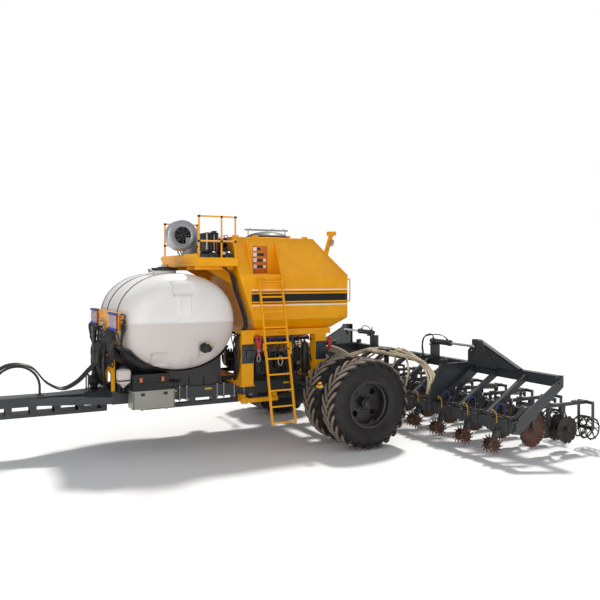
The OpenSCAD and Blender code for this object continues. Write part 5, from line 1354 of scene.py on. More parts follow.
# %% Hatch lid
HATCH_X, HATCH_Z, CAP_HINGE = -1.035, 4.116, -0.54
slate = paint("slate_lid", rgb(52, 62, 74), 0.45, 0.25)
def hatch_lid():
    line = [(0.0, 0.004), (0.44, 0.004), (0.453, 0.0), (0.456, 0.018), (0.448, 0.034), (0.425, 0.04),
        (0.4, 0.062), (0.33, 0.09), (0.24, 0.112), (0.12, 0.13), (0.0, 0.136)]
    shape = Shape().lathe([(r, HATCH_Z + z) for r, z in line], (HATCH_X, 0.0, 0.0), "Z", 96)
    shape.box((CAP_HINGE - 0.06, -0.045, HATCH_Z), (CAP_HINGE - 0.01, 0.045, HATCH_Z + 0.028), 0.003)
    shape.lathe([(0.0145, -0.045), (0.028, -0.045), (0.028, 0.045), (0.0145, 0.045)],
        (CAP_HINGE, 0.0, HATCH_Z + 0.011), "Y", 28)
    return shape
piece("hatch_lid", "hopper_cap", slate, hatch_lid(), ("hopper_lid",))
bar = Shape()
for y in (-0.022, 0.022):
    bar.box((HATCH_X - 0.51, y - 0.006, HATCH_Z + 0.15), (HATCH_X + 0.49, y + 0.006, HATCH_Z + 0.185),
        0.002)
for x in (-0.505, -0.25, 0.0, 0.25, 0.48):
    bar.rod((HATCH_X + x, -0.03, HATCH_Z + 0.168), (HATCH_X + x, 0.03, HATCH_Z + 0.168), 0.008)
for x in (-0.44, 0.0, 0.43):
    bar.rod((HATCH_X + x, 0.0, HATCH_Z + 0.03), (HATCH_X + x, 0.0, HATCH_Z + 0.165), 0.011)
bar.take(pipe([(HATCH_X + 0.02, 0.0, HATCH_Z + 0.17), (HATCH_X + 0.08, 0.0, HATCH_Z + 0.185),
    (HATCH_X + 0.14, 0.0, HATCH_Z + 0.198)], 0.009, zinc, 8, 2))
piece("hatch_clamp_bar", "hopper_cap", zinc, bar)
pegs = Shape()
for x in (-0.4, 0.4):
    pegs.lathe([(0.0, HATCH_Z + 0.16), (0.013, HATCH_Z + 0.16), (0.013, HATCH_Z + 0.196),
        (0.01, HATCH_Z + 0.199), (0.0, HATCH_Z + 0.199)], (HATCH_X + x, 0.0, 0.0), "Z", 14)
piece("hatch_grips", "hopper_cap", black_moulding, pegs)

# %% [markdown]
# ## Fan
# The fan is a spun metal drum with its inlet towards the ladder side. Air is drawn past a wire
# guard by a bladed wheel on a shaft, and leaves down a duct through the deck.

# %% Fan
FAN_X, FAN_Z, DECK = -2.94, 4.115, 3.55
def fan_drum():
    line = [(0.172, -0.122), (0.186, -0.13), (0.28, -0.128), (0.3, -0.118), (0.305, -0.1),
        (0.305, 0.1), (0.3, 0.118), (0.28, 0.128), (0.028, 0.128), (0.028, 0.122), (0.276, 0.122),
        (0.297, 0.11), (0.299, -0.1), (0.278, -0.122), (0.19, -0.123), (0.18, -0.116)]
    shape = Shape().lathe(line, (FAN_X, 0.0, FAN_Z), "Y", 96)
    for y in (-0.108, 0.108):
        shape.lathe([(0.3, y - 0.008), (0.309, y - 0.005), (0.309, y + 0.005), (0.3, y + 0.008)],
            (FAN_X, 0.0, FAN_Z), "Y", 96)
    for y in (-0.12, 0.114):
        shape.box((FAN_X + 0.06, y, DECK + 0.02), (FAN_X + 0.3, y + 0.006, FAN_Z - 0.04), 0.002)
    for x in (FAN_X + 0.06, FAN_X + 0.294):
        shape.box((x, -0.12, DECK + 0.02), (x + 0.006, 0.12,
            FAN_Z - (0.25 if x < FAN_X + 0.1 else 0.04)), 0.002)
    shape.box((FAN_X + 0.03, -0.15, DECK), (FAN_X + 0.33, 0.15, DECK + 0.022), 0.003)
    shape.take(bolts([((FAN_X + 0.045 + 0.09 * n, s * 0.138, DECK + 0.022), (0.0, 0.0, 1.0))
        for n in range(4) for s in (-1, 1)], 0.008))
    shape.take(bolt_circle((FAN_X, -0.129, FAN_Z), 0.24, 12, -1.0, 0.007))
    return shape
piece("fan_drum", "chassis", fan_metal, fan_drum(), ("fan_housing",))

# %% [markdown]
# ## Fan wheel, guard and motor
# The wheel turns inside the drum, so it is a piece of its own. Twelve curved blades are one blade
# turned, and the guard is four wire rings with eight spokes.

# %% Fan wheel
def fan_wheel():
    shape = Shape()
    shape.lathe([(0.0, -0.112), (0.024, -0.11), (0.048, -0.085), (0.056, 0.1), (0.25, 0.1),
        (0.25, 0.105), (0.02, 0.105), (0.02, 0.188), (0.0, 0.188)], (FAN_X, 0.0, FAN_Z), "Y", 48)
    shape.lathe([(0.185, -0.092), (0.248, -0.084), (0.248, -0.08), (0.185, -0.088)],
        (FAN_X, 0.0, FAN_Z), "Y", 64)
    curve = [(0.06 + 0.187 * t / 8, 0.55 * (t / 8) ** 2) for t in range(9)]
    outer = [(FAN_X + r * cos(a), FAN_Z + r * sin(a)) for r, a in curve]
    inner = [(FAN_X + r * cos(a + 0.003 / r), FAN_Z + r * sin(a + 0.003 / r)) for r,
        a in reversed(curve)]
    blade = Shape().plate(outer + inner, -0.085, 0.1, edge=0.0)
    shape.take(turned(blade, 12, (FAN_X, 0.0, FAN_Z), finish=black_paint))
    return shape
piece("fan_wheel_blades", "fan_wheel", black_paint, fan_wheel(), ("fan_rotor",))
guard = Shape()
for r in (0.045, 0.085, 0.125, 0.165):
    guard.lathe([(r + 0.0022 * cos(tau * k / 6),
        -0.128 + 0.0022 * sin(tau * k / 6)) for k in range(6)], (FAN_X, 0.0, FAN_Z), "Y", 48)
spoke = Shape().rod((FAN_X + 0.03, -0.131, FAN_Z), (FAN_X + 0.185, -0.131, FAN_Z), 0.0025, sides=6)
guard.take(turned(spoke, 8, (FAN_X, 0.0, FAN_Z)))
piece("fan_inlet_guard", "chassis", zinc, guard)
motor = Shape()
motor.lathe([(0.0, 0.196), (0.05, 0.196), (0.055, 0.205), (0.055, 0.29), (0.045, 0.3), (0.0, 0.3)],
    (FAN_X, 0.0, FAN_Z), "Y", 32)
for s in (-1, 1):
    motor.box((FAN_X + s * 0.085 - 0.008, 0.129, FAN_Z - 0.05),
        (FAN_X + s * 0.085 + 0.008, 0.215, FAN_Z + 0.05), 0.002)
motor.box((FAN_X - 0.095, 0.205, FAN_Z - 0.05), (FAN_X + 0.095, 0.215, FAN_Z + 0.05), 0.002)
for x in (-0.03, 0.03):
    motor.take(pipe([(FAN_X + x, 0.26, FAN_Z - 0.04), (FAN_X + x, 0.27, FAN_Z - 0.14),
        (FAN_X + x + 0.03, 0.22, FAN_Z - 0.32), (FAN_X + x + 0.12, 0.2, FAN_Z - 0.46),
        (FAN_X + x + 0.25, 0.22, DECK + 0.03), (FAN_X + x + 0.34, 0.22, DECK + 0.01)], 0.013,
        black_hose, 8))
piece("fan_hydraulic_motor", "chassis", black_paint, motor)

# %% [markdown]
# ## Air supply
# A pair of pressure tanks lies across the deck, with a plate over them for the compressor set.
# Each tank is an outline with domed ends, turned about its own axis, with weld beads round it.

# %% Air tanks
TANKS_X, AIR_Z, AIR_Y = (-2.59, -2.28), 3.666, (-1.02, -0.15)
def air_tanks():
    shape = Shape()
    y0, y1 = AIR_Y
    r = 0.108
    for x in TANKS_X:
        half = [(0.0, 0.0), (0.045, 0.004), (0.08, 0.02), (0.1, 0.045), (r, 0.08)]
        line = [(q, y0 + d) for q, d in half] + [(q, y1 - d) for q, d in reversed(half)]
        shape.lathe(line, (x, 0.0, AIR_Z), "Y", 48)
        for y in (y0 + 0.078, y1 - 0.078, (y0 + y1) / 2):
            shape.lathe([(r - 0.002, y - 0.006), (r + 0.002, y), (r - 0.002, y + 0.006)],
                (x, 0.0, AIR_Z), "Y", 48)
        for y in (y0 + 0.13, y1 - 0.17):
            shape.box((x - 0.06, y, DECK), (x + 0.06, y + 0.035, AIR_Z - 0.08), 0.003)
        shape.rod((x, y0, AIR_Z), (x, y0 + 0.02, AIR_Z), 0.018, sides=6)
    shape.box((-2.66, -0.88, 3.77), (-2.2, -0.3, 3.784), 0.003)
    for x in TANKS_X:
        for y in (-0.84, -0.36):
            shape.box((x - 0.02, y - 0.02, AIR_Z + 0.09), (x + 0.02, y + 0.02, 3.772), 0.003)
    return shape
piece("air_tanks", "chassis", black_paint, air_tanks(), ("compressor",))

# %% [markdown]
# ## Compressor set
# On the plate stand a cooler with thin fins, a block with a finned head, two filters and the belt
# pulleys. Copper pipes join them to the tanks, and a gauge sits on the tank's end.

# %% Compressor
def compressor_set():
    shape = Shape()
    base = 3.784
    shape.box((-2.695, -0.9, base), (-2.66, -0.42, base + 0.36), 0.006)
    fin = Shape().box((-2.655, -0.88, base + 0.03), (-2.595, -0.44, base + 0.036), 0.0)
    shape.take(stepped(fin.mesh(), 20, (0.0, 0.0, 0.016)))
    shape.box((-2.65, -0.9, base), (-2.595, -0.885, base + 0.36), 0.003)
    shape.box((-2.65, -0.435, base), (-2.595, -0.42, base + 0.36), 0.003)
    shape.box((-2.56, -0.74, base), (-2.38, -0.5, base + 0.22), 0.02)
    shape.box((-2.53, -0.72, base + 0.22), (-2.41, -0.52, base + 0.37), 0.01)
    fin = Shape().box((-2.545, -0.735, base + 0.235), (-2.395, -0.505, base + 0.24), 0.0)
    shape.take(stepped(fin.mesh(), 8, (0.0, 0.0, 0.016)))
    shape.box((-2.5, -0.7, base + 0.37), (-2.43, -0.54, base + 0.405), 0.012)
    for y in (-0.68, -0.5):
        shape.rod((-2.27, y, base), (-2.27, y, base + 0.25), 0.042)
        line = [(0.042, base + 0.08)] + [(0.066 if (k % 2) else 0.046, base + 0.085 + 0.009 * k)
            for k in range(16)] + [(0.042, base + 0.235)]
        shape.lathe(line, (-2.27, y, 0.0), "Z", 28)
        shape.box((-2.315, y - 0.045, base + 0.235), (-2.225, y + 0.045, base + 0.265), 0.006)
    shape.box((-2.34, -0.76, base), (-2.2, -0.43, base + 0.075), 0.02)
    shape.lathe([(0.02, -0.455), (0.125, -0.455), (0.125, -0.425), (0.02, -0.425)],
        (-2.42, 0.0, base + 0.14), "Y", 40)
    shape.lathe([(0.02, -0.455), (0.075, -0.455), (0.075, -0.425), (0.02, -0.425)],
        (-2.27, 0.0, base + 0.12), "Y", 32)
    shape.rod((-2.5, -0.78, base + 0.28), (-2.5, -0.71, base + 0.28), 0.048)
    return shape
piece("compressor_set", "chassis", black_moulding, compressor_set())
tubes = Shape()
for y in (-0.68, -0.5):
    tubes.take(pipe([(-2.27, y, 4.05), (-2.262, y, 4.1), (-2.215, y - 0.02, 4.1),
        (-2.195, y - 0.03, 4.0), (-2.2, y - 0.06, 3.86), (-2.24, y - 0.09, 3.79),
        (-2.27, y - 0.11, 3.765)], 0.009, copper, 8, 4))
tubes.take(pipe([(-2.36, -0.62, 3.86), (-2.345, -0.8, 3.9), (-2.36, -0.86, 4.02),
    (-2.42, -0.84, 4.06), (-2.47, -0.8, 3.98), (-2.5, -0.86, 3.8), (-2.56, -0.88, 3.77)], 0.008,
    copper, 8, 4))
piece("compressor_copper_pipes", "chassis", copper, tubes)
marks = Shape().box((-2.699, -0.895, 3.81), (-2.694, -0.84, 4.12), 0.001)
marks.lathe([(0.0, -1.024), (0.028, -1.024), (0.03, -1.012), (0.03, -1.0), (0.0, -1.0)],
    (-2.4, 0.0, 3.74), "Y", 24)
marks.box((-2.56, -0.905, 3.8), (-2.555, -0.88, 4.1), 0.001)
piece("compressor_plates_and_gauge", "chassis", white_valve, marks)

# %% [markdown]
# ## Platform fittings
# Black plugs close the rail ends, clamps hold the posts, a toe board runs along each side of the
# deck, and small beads on the deck give a grip.

# %% Platform fittings
RAIL_TOP = 4.43
plugs, clamps = Shape(), Shape()
for x, y in ((-2.95, -1.15), (-2.5, -1.15), (-2.22, -1.15), (-2.95, 1.15), (-2.22, 1.15)):
    clamps.box((x - 0.03, y - 0.03, DECK), (x + 0.03, y + 0.03, DECK + 0.07), 0.004)
    for z in (RAIL_TOP, (RAIL_TOP + 3.49) / 2):
        plugs.box((x - 0.024, y - 0.024, z - 0.024), (x + 0.024, y + 0.024, z + 0.016), 0.006)
clamps.box((-2.98, -1.192, DECK), (-2.18, -1.186, DECK + 0.1), 0.001)
clamps.box((-2.98, 1.186, DECK), (-2.18, 1.192, DECK + 0.1), 0.001)
for y in (-0.95, -0.45, 0.45, 0.95):
    clamps.box((-2.96, y - 0.025, 3.42), (-2.18, y + 0.025, 3.49), 0.004)
piece("platform_clamps_and_toe_boards", "chassis", yellow_paint, clamps, ())
piece("rail_end_plugs", "chassis", black_moulding, plugs)
beads = Shape()
for x in (-2.975, -2.955):
    beads.box((x, -1.17, DECK), (x + 0.006, -1.155, DECK + 0.002), 0.0)
row = stepped(beads.mesh(), 40, (0.02, 0.0, 0.0), worn_graphite)
tread = Shape().take(stepped(row, 39, (0.0, 0.06, 0.0), worn_graphite))
piece("deck_tread_beads", "chassis", worn_graphite, tread)

# %% [markdown]
# ## Flow tubes
# Each row's liquid passes through a clear tube in which a float shows the flow. Twelve tubes hang
# on the plate in two groups, with blue caps. One of each is made and stepped along each group.

# %% Flow tubes
PLATE_X = -4.45
TUBE_X = PLATE_X - 0.045
def clear_plastic():
    s = Sheet("clear_plastic")
    haze = s.noise(30.0, 2.0)
    s.set(Base_Color=s.mix(haze * 0.4, rgb(206, 196, 206), rgb(236, 226, 230)),
        Roughness=0.12 + haze * 0.1, Alpha=0.42)
    s.shader.inputs["IOR"].default_value = 1.4
    s.bump(haze, 0.001, 0.3)
    return s.material
clear_tube = clear_plastic()
def tube_bank(make, finish):
    whole = Shape()
    for first in (-1.14, 0.64):
        whole.take(stepped(make(first).mesh(), 6, (0.0, 0.1, 0.0), finish))
    return whole
def tube_body(y):
    return Shape().lathe([(0.015, 2.368), (0.024, 2.368), (0.0235, 2.48), (0.0225, 2.602),
        (0.015, 2.602)], (TUBE_X, y, 0.0), "Z", 20)
def tube_caps(y):
    shape = Shape()
    for z0, z1 in ((2.312, 2.37), (2.598, 2.64)):
        shape.lathe([(0.0, z0), (0.026, z0), (0.033, z0 + 0.006), (0.033, z1 - 0.006), (0.028, z1),
            (0.0, z1)], (TUBE_X, y, 0.0), "Z", 20)
        shape.box((TUBE_X, y - 0.022, z0 + 0.006), (PLATE_X, y + 0.022, z1 - 0.004), 0.004)
    shape.rod((TUBE_X - 0.02, y, 2.336), (TUBE_X - 0.034, y, 2.336), 0.016, 0.012, 10)
    return shape
def tube_float(y):
    lift = 2.46 + 0.03 * sin(y * 37.0)
    shape = Shape().lathe([(0.0, lift), (0.012, lift + 0.012), (0.014, lift + 0.03),
        (0.0, lift + 0.045)], (TUBE_X, y, 0.0), "Z", 16)
    shape.rod((TUBE_X, y, 2.37), (TUBE_X, y, 2.6), 0.003, sides=6)
    shape.box((TUBE_X + 0.026, y - 0.018, 2.38), (PLATE_X, y + 0.018, 2.59), 0.003)
    return shape
piece("flow_tube_bodies", "chassis", clear_tube, tube_bank(tube_body, clear_tube), ("flow_tubes",))
piece("flow_tube_caps", "chassis", blue_cap, tube_bank(tube_caps, blue_cap))
piece("flow_tube_floats", "chassis", red_float, tube_bank(tube_float, red_float))

# %% [markdown]
# ## Lines from the tubes
# A black line leaves each tube's foot. They hang in front of the tank, gather, and go back between
# the tank and the boxes to the toolbar. Each is one smooth path, a little apart from the next.

# %% Tube lines
def tube_lines(side):
    shape = Shape()
    for n in range(6):
        y = side * (0.64 + 0.1 * n)
        spread = (n - 2.5) * 0.022
        droop = 0.05 * sin(n * 2.1)
        shape.take(pipe([(TUBE_X, y, 2.315), (TUBE_X, y, 2.2),
            (TUBE_X - 0.012 + droop * 0.4, y * 0.99, 2.06 + droop),
            (-4.46 + spread, side * 0.8 + (y - side * 0.9) * 0.5, 1.9),
            (-4.3 + spread, side * 0.78 + (y - side * 0.9) * 0.28, 1.735),
            (-4.06, side * 0.74 + side * spread, 1.6 + spread),
            (-3.8, side * 0.7 + side * spread, 1.46 + spread * 0.5),
            (-3.45, side * 0.67 + side * spread, 1.3 + spread * 0.4),
            (-3.0, side * 0.6, 1.235 + n * 0.012), (-2.2, side * 0.58, 1.235 + n * 0.012),
            (-1.2, side * (0.56 + 0.01 * n), 1.23 + n * 0.012), (-0.6, side * 0.6, 1.2 + n * 0.01)],
            0.0125, black_hose, 8, 5))
        shape.take(pipe([(TUBE_X - 0.03, y, 2.336), (TUBE_X - 0.06, y, 2.29),
            (TUBE_X - 0.055, y * 0.96, 2.12 - droop), (TUBE_X, y * 0.86, 1.84),
            (TUBE_X + 0.02, y * 0.72, 1.68 + droop), (-4.49, side * 0.4, 1.62 + 0.03 * n),
            (-4.49, side * (0.18 + 0.03 * n), 1.78)], 0.011, black_hose, 8, 5))
    for n, (y, z) in enumerate(((1.16, 2.62), (1.18, 2.52), (1.17, 2.42))):
        shape.take(pipe([(-4.4, side * y, z), (-4.33, side * (y + 0.02), z - 0.03),
            (-4.37, side * (y - 0.02), z - 0.25), (-4.36, side * 1.0, 1.98 - n * 0.03),
            (-4.2, side * (0.86 - n * 0.03), 1.72), (-3.95, side * (0.8 - n * 0.03), 1.56),
            (-3.6, side * 0.74, 1.38), (-3.2, side * 0.7, 1.26)], 0.015, black_hose, 8, 5))
    return shape
both = tube_lines(-1)
both.take(tube_lines(1).mesh())
piece("flow_tube_lines", "chassis", black_hose, both, ())

# %% [markdown]
# ## Valves, filters and gauges
# Between the two banks of tubes stands a plate with section valves, strainers and a gauge. The
# valve is one shape of body, actuator and elbow, and it is stepped five times.

# %% Valve board
VALVE_X, MANIFOLD_Z = -4.51, 1.885
board = Shape().box((-4.449, -0.38, 1.5), (-4.441, 0.38, 2.31), 0.002)
board.box((-4.449, -0.4, 1.48), (-4.4, -0.375, 2.31), 0.002)
board.box((-4.449, 0.375, 1.48), (-4.4, 0.4, 2.31), 0.002)
board.box((-4.46, -0.14, 1.19), (-4.42, 0.14, 1.5), 0.004)
board.take(bolts([((-4.449, y, z), (-1.0, 0.0, 0.0)) for y in (-0.34, 0.34)
    for z in (1.56, 1.9, 2.24)], 0.012))
board.take(bolts([((-4.45, s * 0.59, z), (-1.0, 0.0, 0.0)) for s in (-1, 1) for z in (2.36, 2.58)],
    0.014))
piece("valve_board", "chassis", yellow_paint, board, ())
def valve(y):
    shape = Shape()
    shape.box((-4.56, y - 0.036, 1.98), (-4.449, y + 0.036, 2.05), 0.008)
    shape.lathe([(0.0, 2.05), (0.032, 2.05), (0.038, 2.07), (0.038, 2.15), (0.03, 2.165),
        (0.0, 2.165)], (VALVE_X, y, 0.0), "Z", 20)
    shape.rod((VALVE_X, y, 1.9), (VALVE_X, y, 1.98), 0.026, 0.03, 16)
    shape.lathe([(0.0, -4.6), (0.018, -4.6), (0.024, -4.59), (0.024, -4.56), (0.0, -4.56)],
        (0.0, y, 2.015), "X", 14)
    shape.box((-4.53, y - 0.04, 2.12), (-4.49, y + 0.04, 2.135), 0.002)
    return shape
row = Shape().take(stepped(valve(-0.32).mesh(), 5, (0.0, 0.16, 0.0), black_moulding))
row.rod((VALVE_X, -0.42, MANIFOLD_Z), (VALVE_X, 0.42, MANIFOLD_Z), 0.028)
for y in (-0.42, 0.42):
    row.lathe([(0.0, y - 0.02), (0.04, y - 0.02), (0.04, y + 0.02), (0.0, y + 0.02)],
        (VALVE_X, 0.0, MANIFOLD_Z), "Y", 8)
for y in (-0.25, 0.02, 0.28):
    row.lathe([(0.0, 1.52), (0.034, 1.53), (0.042, 1.56), (0.042, 1.7), (0.052, 1.71), (0.052, 1.75),
        (0.036, 1.76), (0.0, 1.77)], (VALVE_X, y, 0.0), "Z", 24)
    row.rod((VALVE_X, y, 1.76), (VALVE_X, y, 1.88), 0.018, sides=12)
row.box((-4.6, -0.2, 1.6), (-4.46, -0.08, 1.78), 0.012)
piece("section_valves_and_strainers", "chassis", black_moulding, row, ())

# %% [markdown]
# ## Gauges and hoses of the board
# Three dials and a few bright fittings sit above the valves. Nine hoses leave the valves, lean
# each their own way and gather at the tongue, and two wide ones feed the manifold's ends.

# %% Gauges and board hoses
gauges = Shape()
for y, z, r in ((-0.08, 2.4, 0.05), (0.16, 2.46, 0.035), (0.3, 2.22, 0.03)):
    gauges.lathe([(0.0, -4.51), (r * 0.86, -4.51), (r * 0.9, -4.516), (r, -4.51), (r, -4.478),
        (0.0, -4.478)], (0.0, y, z), "X", 32)
    gauges.rod((-4.495, y, z - r), (-4.495, y, z - r - 0.05), 0.008, sides=8)
gauges.rod((-4.5, -0.36, 2.285), (-4.5, 0.36, 2.285), 0.012)
gauges.take(pipe([(-4.5, -0.3, 2.285), (-4.53, -0.31, 2.2), (-4.52, -0.32, 2.17)], 0.008, zinc, 8))
gauges.take(pipe([(-4.49, 0.1, 2.56), (-4.5, 0.03, 2.67), (-4.49, -0.05, 2.7), (-4.48, -0.12, 2.66),
    (-4.45, -0.14, 2.6)], 0.007, zinc, 8))
piece("gauges_and_fittings", "chassis", zinc, gauges, ())
lines = Shape()
for n in range(9):
    y = -0.36 + 0.09 * n
    lean = 0.05 * cos(n * 1.9)
    lines.take(pipe([(-4.56, y, 2.0), (-4.62, y + 0.01, 1.95), (-4.63 + lean * 0.4, y + lean, 1.78),
        (-4.6, y * 0.8 + lean, 1.6), (-4.55, y * 0.7, 1.45 + lean), (-4.5, y * 0.6, 1.3),
        (-4.44, y * 0.7, 1.19), (-4.2, y * 0.9, 1.15)], 0.012 + 0.003 * (n % 3), black_hose, 8, 5))
lines.take(pipe([(-4.52, -0.42, MANIFOLD_Z), (-4.56, -0.5, 1.86), (-4.58, -0.53, 1.66),
    (-4.56, -0.5, 1.42), (-4.5, -0.4, 1.26), (-4.4, -0.34, 1.17), (-4.1, -0.3, 1.14)], 0.028,
    black_hose, 12, 6))
lines.take(pipe([(-4.52, 0.42, MANIFOLD_Z), (-4.57, 0.5, 1.86), (-4.6, 0.53, 1.7),
    (-4.6, 0.5, 1.5), (-4.6, 0.42, 1.4), (-4.6, 0.38, 1.34)], 0.026, black_hose, 12, 6))
piece("valve_board_hoses", "chassis", black_hose, lines, ())

# %% [markdown]
# ## Product pump
# A cast volute on a finned hydraulic motor sits at the end of the tongue. Its outlet rises to a
# cross pipe, and the machine's supply hoses enter that pipe from below through nipples.

# %% Pump
HOSE_Y = (-0.13, -0.085, 0.05, 0.09, 0.13)
def pump():
    x, z = -4.61, 1.275
    shape = Shape().lathe([(0.0, 0.19), (0.045, 0.19), (0.055, 0.2), (0.105, 0.205),
        (0.12, 0.222), (0.12, 0.262), (0.108, 0.285), (0.085, 0.29),
        (0.082, 0.33)] + [(0.08 if k % 2 else 0.07, 0.335 + 0.009 * k)
        for k in range(14)] + [(0.076, 0.47), (0.05, 0.48), (0.0, 0.48)], (x, 0.0, z), "Y", 48)
    shape.box((-4.75, 0.16, 1.105), (-4.47, 0.42, 1.117), 0.003)
    shape.box((-4.68, 0.21, 1.117), (-4.54, 0.36, 1.19), 0.01)
    shape.rod((x, 0.24, 1.38), (x, 0.24, 2.25), 0.034)
    for level in (1.4, 1.75, 2.2):
        shape.lathe([(0.034, level - 0.012), (0.056, level - 0.012), (0.056, level + 0.012),
            (0.034, level + 0.012)], (x, 0.24, 0.0), "Z", 8)
    shape.box((-4.65, 0.2, 2.24), (-4.455, 0.28, 2.335), 0.01)
    shape.rod((VALVE_X, -0.56, 2.24), (VALVE_X, 0.21, 2.24), 0.034)
    for y in (-0.55, -0.4, -0.2, 0.0, 0.17):
        shape.lathe([(0.034, y - 0.008), (0.044, y - 0.008), (0.044, y + 0.008), (0.034, y + 0.008)],
            (VALVE_X, 0.0, 2.24), "Y", 24)
    for y in HOSE_Y:
        shape.lathe([(0.0, 2.15), (0.021, 2.15), (0.021, 2.168), (0.0185, 2.172), (0.0185, 2.184),
            (0.021, 2.188), (0.021, 2.23), (0.0, 2.23)], (VALVE_X, y, 0.0), "Z", 6)
    shape.take(bolt_circle((x, 0.204, z), 0.09, 8, -1.0, 0.009))
    return shape
piece("product_pump_and_riser", "chassis", black_paint, pump(), ("product_pump",))

# %% [markdown]
# ## Supply hoses
# Five hydraulic and air hoses run from the couplers over the hoop to the pump's nipples. They are
# held all the way, and they keep the route that the frame model gives them.

# %% Supply hoses
RAILS_FRONT, TONGUE_TOP = -4.45, 1.105
HOSE_ROUTE = [(-3.25, 0.032), (-2.9, 0.032), (-2.45, 0.06), (-2.11, 0.24), (-1.85, 0.52),
    (-1.58, 0.59), (-1.3, 0.5), (-1.07, 0.23), (-0.79, 0.09), (-0.53, 0.19),
    (-0.33, 0.382), (-0.17, 0.56), (-0.075, 0.78), (-0.06, 0.96), (-0.06, 1.045)]
hoses = Shape()
for y in HOSE_Y:
    hoses.take(pipe([(RAILS_FRONT + x, y, TONGUE_TOP + z) for x, z in HOSE_ROUTE], 0.016, black_hose,
        14, 8))
piece("supply_hoses", "chassis", black_hose, hoses, ("hose_bundle",))
collars = Shape()
for y in HOSE_Y:
    z = TONGUE_TOP + HOSE_ROUTE[0][1]
    collars.lathe([(0.0, -7.828), (0.012, -7.828), (0.0175, -7.815), (0.0175, -7.79), (0.0225, -7.786),
        (0.0225, -7.752), (0.018, -7.748), (0.018, -7.742), (0.0, -7.742)], (0.0, y, z), "X", 24)
piece("quick_couplers", "chassis", zinc, collars)

# %% [markdown]
# ## Rinse tank
# The small clean-water tank is a square jar with rounded sides and a hopper bottom. Rings of a
# squared circle are lofted from the drain to the neck.

# %% Rinse tank
RINSE = (-4.29, -0.88, 1.27)
def squared_ring(half, power, z, count=48):
    ring = []
    for n in range(count):
        a = tau * n / count
        ring.append(at(RINSE[0] + half * squared(cos(a), power),
            RINSE[1] + half * squared(sin(a), power), RINSE[2] + z))
    return ring
def rinse_jar():
    shape = Shape()
    rings = [(0.026, 1.0, 0.0), (0.03, 1.0, 0.012), (0.06, 0.8, 0.04), (0.103, 0.5, 0.085),
        (0.116, 0.36, 0.105), (0.118, 0.34, 0.13), (0.114, 0.34, 0.136), (0.118, 0.34, 0.142),
        (0.119, 0.34, 0.25), (0.118, 0.34, 0.29), (0.11, 0.36, 0.315), (0.092, 0.5, 0.332),
        (0.062, 0.9, 0.338), (0.058, 1.0, 0.35)]
    return shape.loft([[shape.bm.verts.new(p) for p in squared_ring(*r)] for r in rings])
piece("rinse_tank_jar", "chassis", white_plastic, rinse_jar(), ("rinse_tank",))

# %% [markdown]
# ## Stand and cap of the rinse tank
# Four legs and a strap hold the jar over its bracket, and a ribbed cap closes the neck.

# %% Rinse tank stand
stand = Shape().box((-4.385, -0.99, 1.165), (-4.198, -0.56, 1.175), 0.002)
for a in (-0.08, 0.08):
    for b in (-0.08, 0.08):
        stand.rod((RINSE[0] + a, RINSE[1] + b, 1.175), (RINSE[0] + a * 1.1, RINSE[1] + b * 1.1, 1.4),
            0.008)
stand.box((RINSE[0] - 0.122, RINSE[1] - 0.125, 1.395), (RINSE[0] + 0.122, RINSE[1] - 0.119, 1.42),
    0.001)
stand.box((RINSE[0] - 0.125, RINSE[1] - 0.122, 1.395), (RINSE[0] - 0.119, RINSE[1] + 0.122, 1.42),
    0.001)
stand.rod((RINSE[0], RINSE[1], 1.2), (RINSE[0], RINSE[1], 1.272), 0.018, 0.028, 12)
piece("rinse_tank_stand", "chassis", black_paint, stand)
cap = Shape().lathe([(0.0, 1.618), (0.064, 1.618), (0.068, 1.624), (0.068, 1.652), (0.06, 1.664),
    (0.0, 1.668)], (RINSE[0], RINSE[1], 0.0), "Z", 40)
grip = Shape().box((RINSE[0] + 0.064, RINSE[1] - 0.004, 1.622),
    (RINSE[0] + 0.072, RINSE[1] + 0.004, 1.652), 0.001)
cap.take(turned(grip, 24, (RINSE[0], RINSE[1], 1.62), (0.0, 0.0, 1.0), black_moulding))
piece("rinse_tank_cap", "chassis", black_moulding, cap)

# %% [markdown]
# ## Boxes on the rail
# The toolbox is moulded with ribs all round and a ribbed lid; the cabinet under it is folded
# sheet with two latches and rubber feet. The shells are in the frame, so the ribs, latches and
# fasteners are what is added, each on the body that carries it.

# %% Toolbox and cabinet fittings
BOX_X, BOX_Y, BOX_Z = (-4.15, -3.49), (-1.05, -0.675), (1.21, 1.42)
ribs = Shape()
rib = Shape().box((BOX_X[0] + 0.03, BOX_Y[0] - 0.01, BOX_Z[0] + 0.01),
    (BOX_X[0] + 0.042, BOX_Y[0] + 0.004, BOX_Z[1] - 0.055), 0.003)
ribs.take(stepped(rib.mesh(), 15, (0.042, 0.0, 0.0), black_moulding))
for x in (BOX_X[0] - 0.008, BOX_X[1] - 0.004):
    rib = Shape().box((x, BOX_Y[0] + 0.03, BOX_Z[0] + 0.01),
        (x + 0.012, BOX_Y[0] + 0.042, BOX_Z[1] - 0.055), 0.003)
    ribs.take(stepped(rib.mesh(), 8, (0.0, 0.042, 0.0), black_moulding))
ribs.box((BOX_X[0] - 0.009, BOX_Y[0] - 0.011, BOX_Z[1] - 0.06),
    (BOX_X[1] + 0.009, BOX_Y[0] + 0.003, BOX_Z[1] - 0.05), 0.003)
piece("toolbox_ribs", "chassis", black_moulding, ribs, ())
lid = Shape()
rib = Shape().box((BOX_X[0] + 0.02, BOX_Y[0] + 0.03, 1.504), (BOX_X[0] + 0.05, BOX_Y[1] - 0.06, 1.513),
    0.003)
lid.take(stepped(rib.mesh(), 10, (0.062, 0.0, 0.0), black_moulding))
lid.box((BOX_X[0] - 0.018, BOX_Y[0] - 0.018, 1.424), (BOX_X[1] + 0.018, BOX_Y[0] - 0.01, 1.436), 0.002)
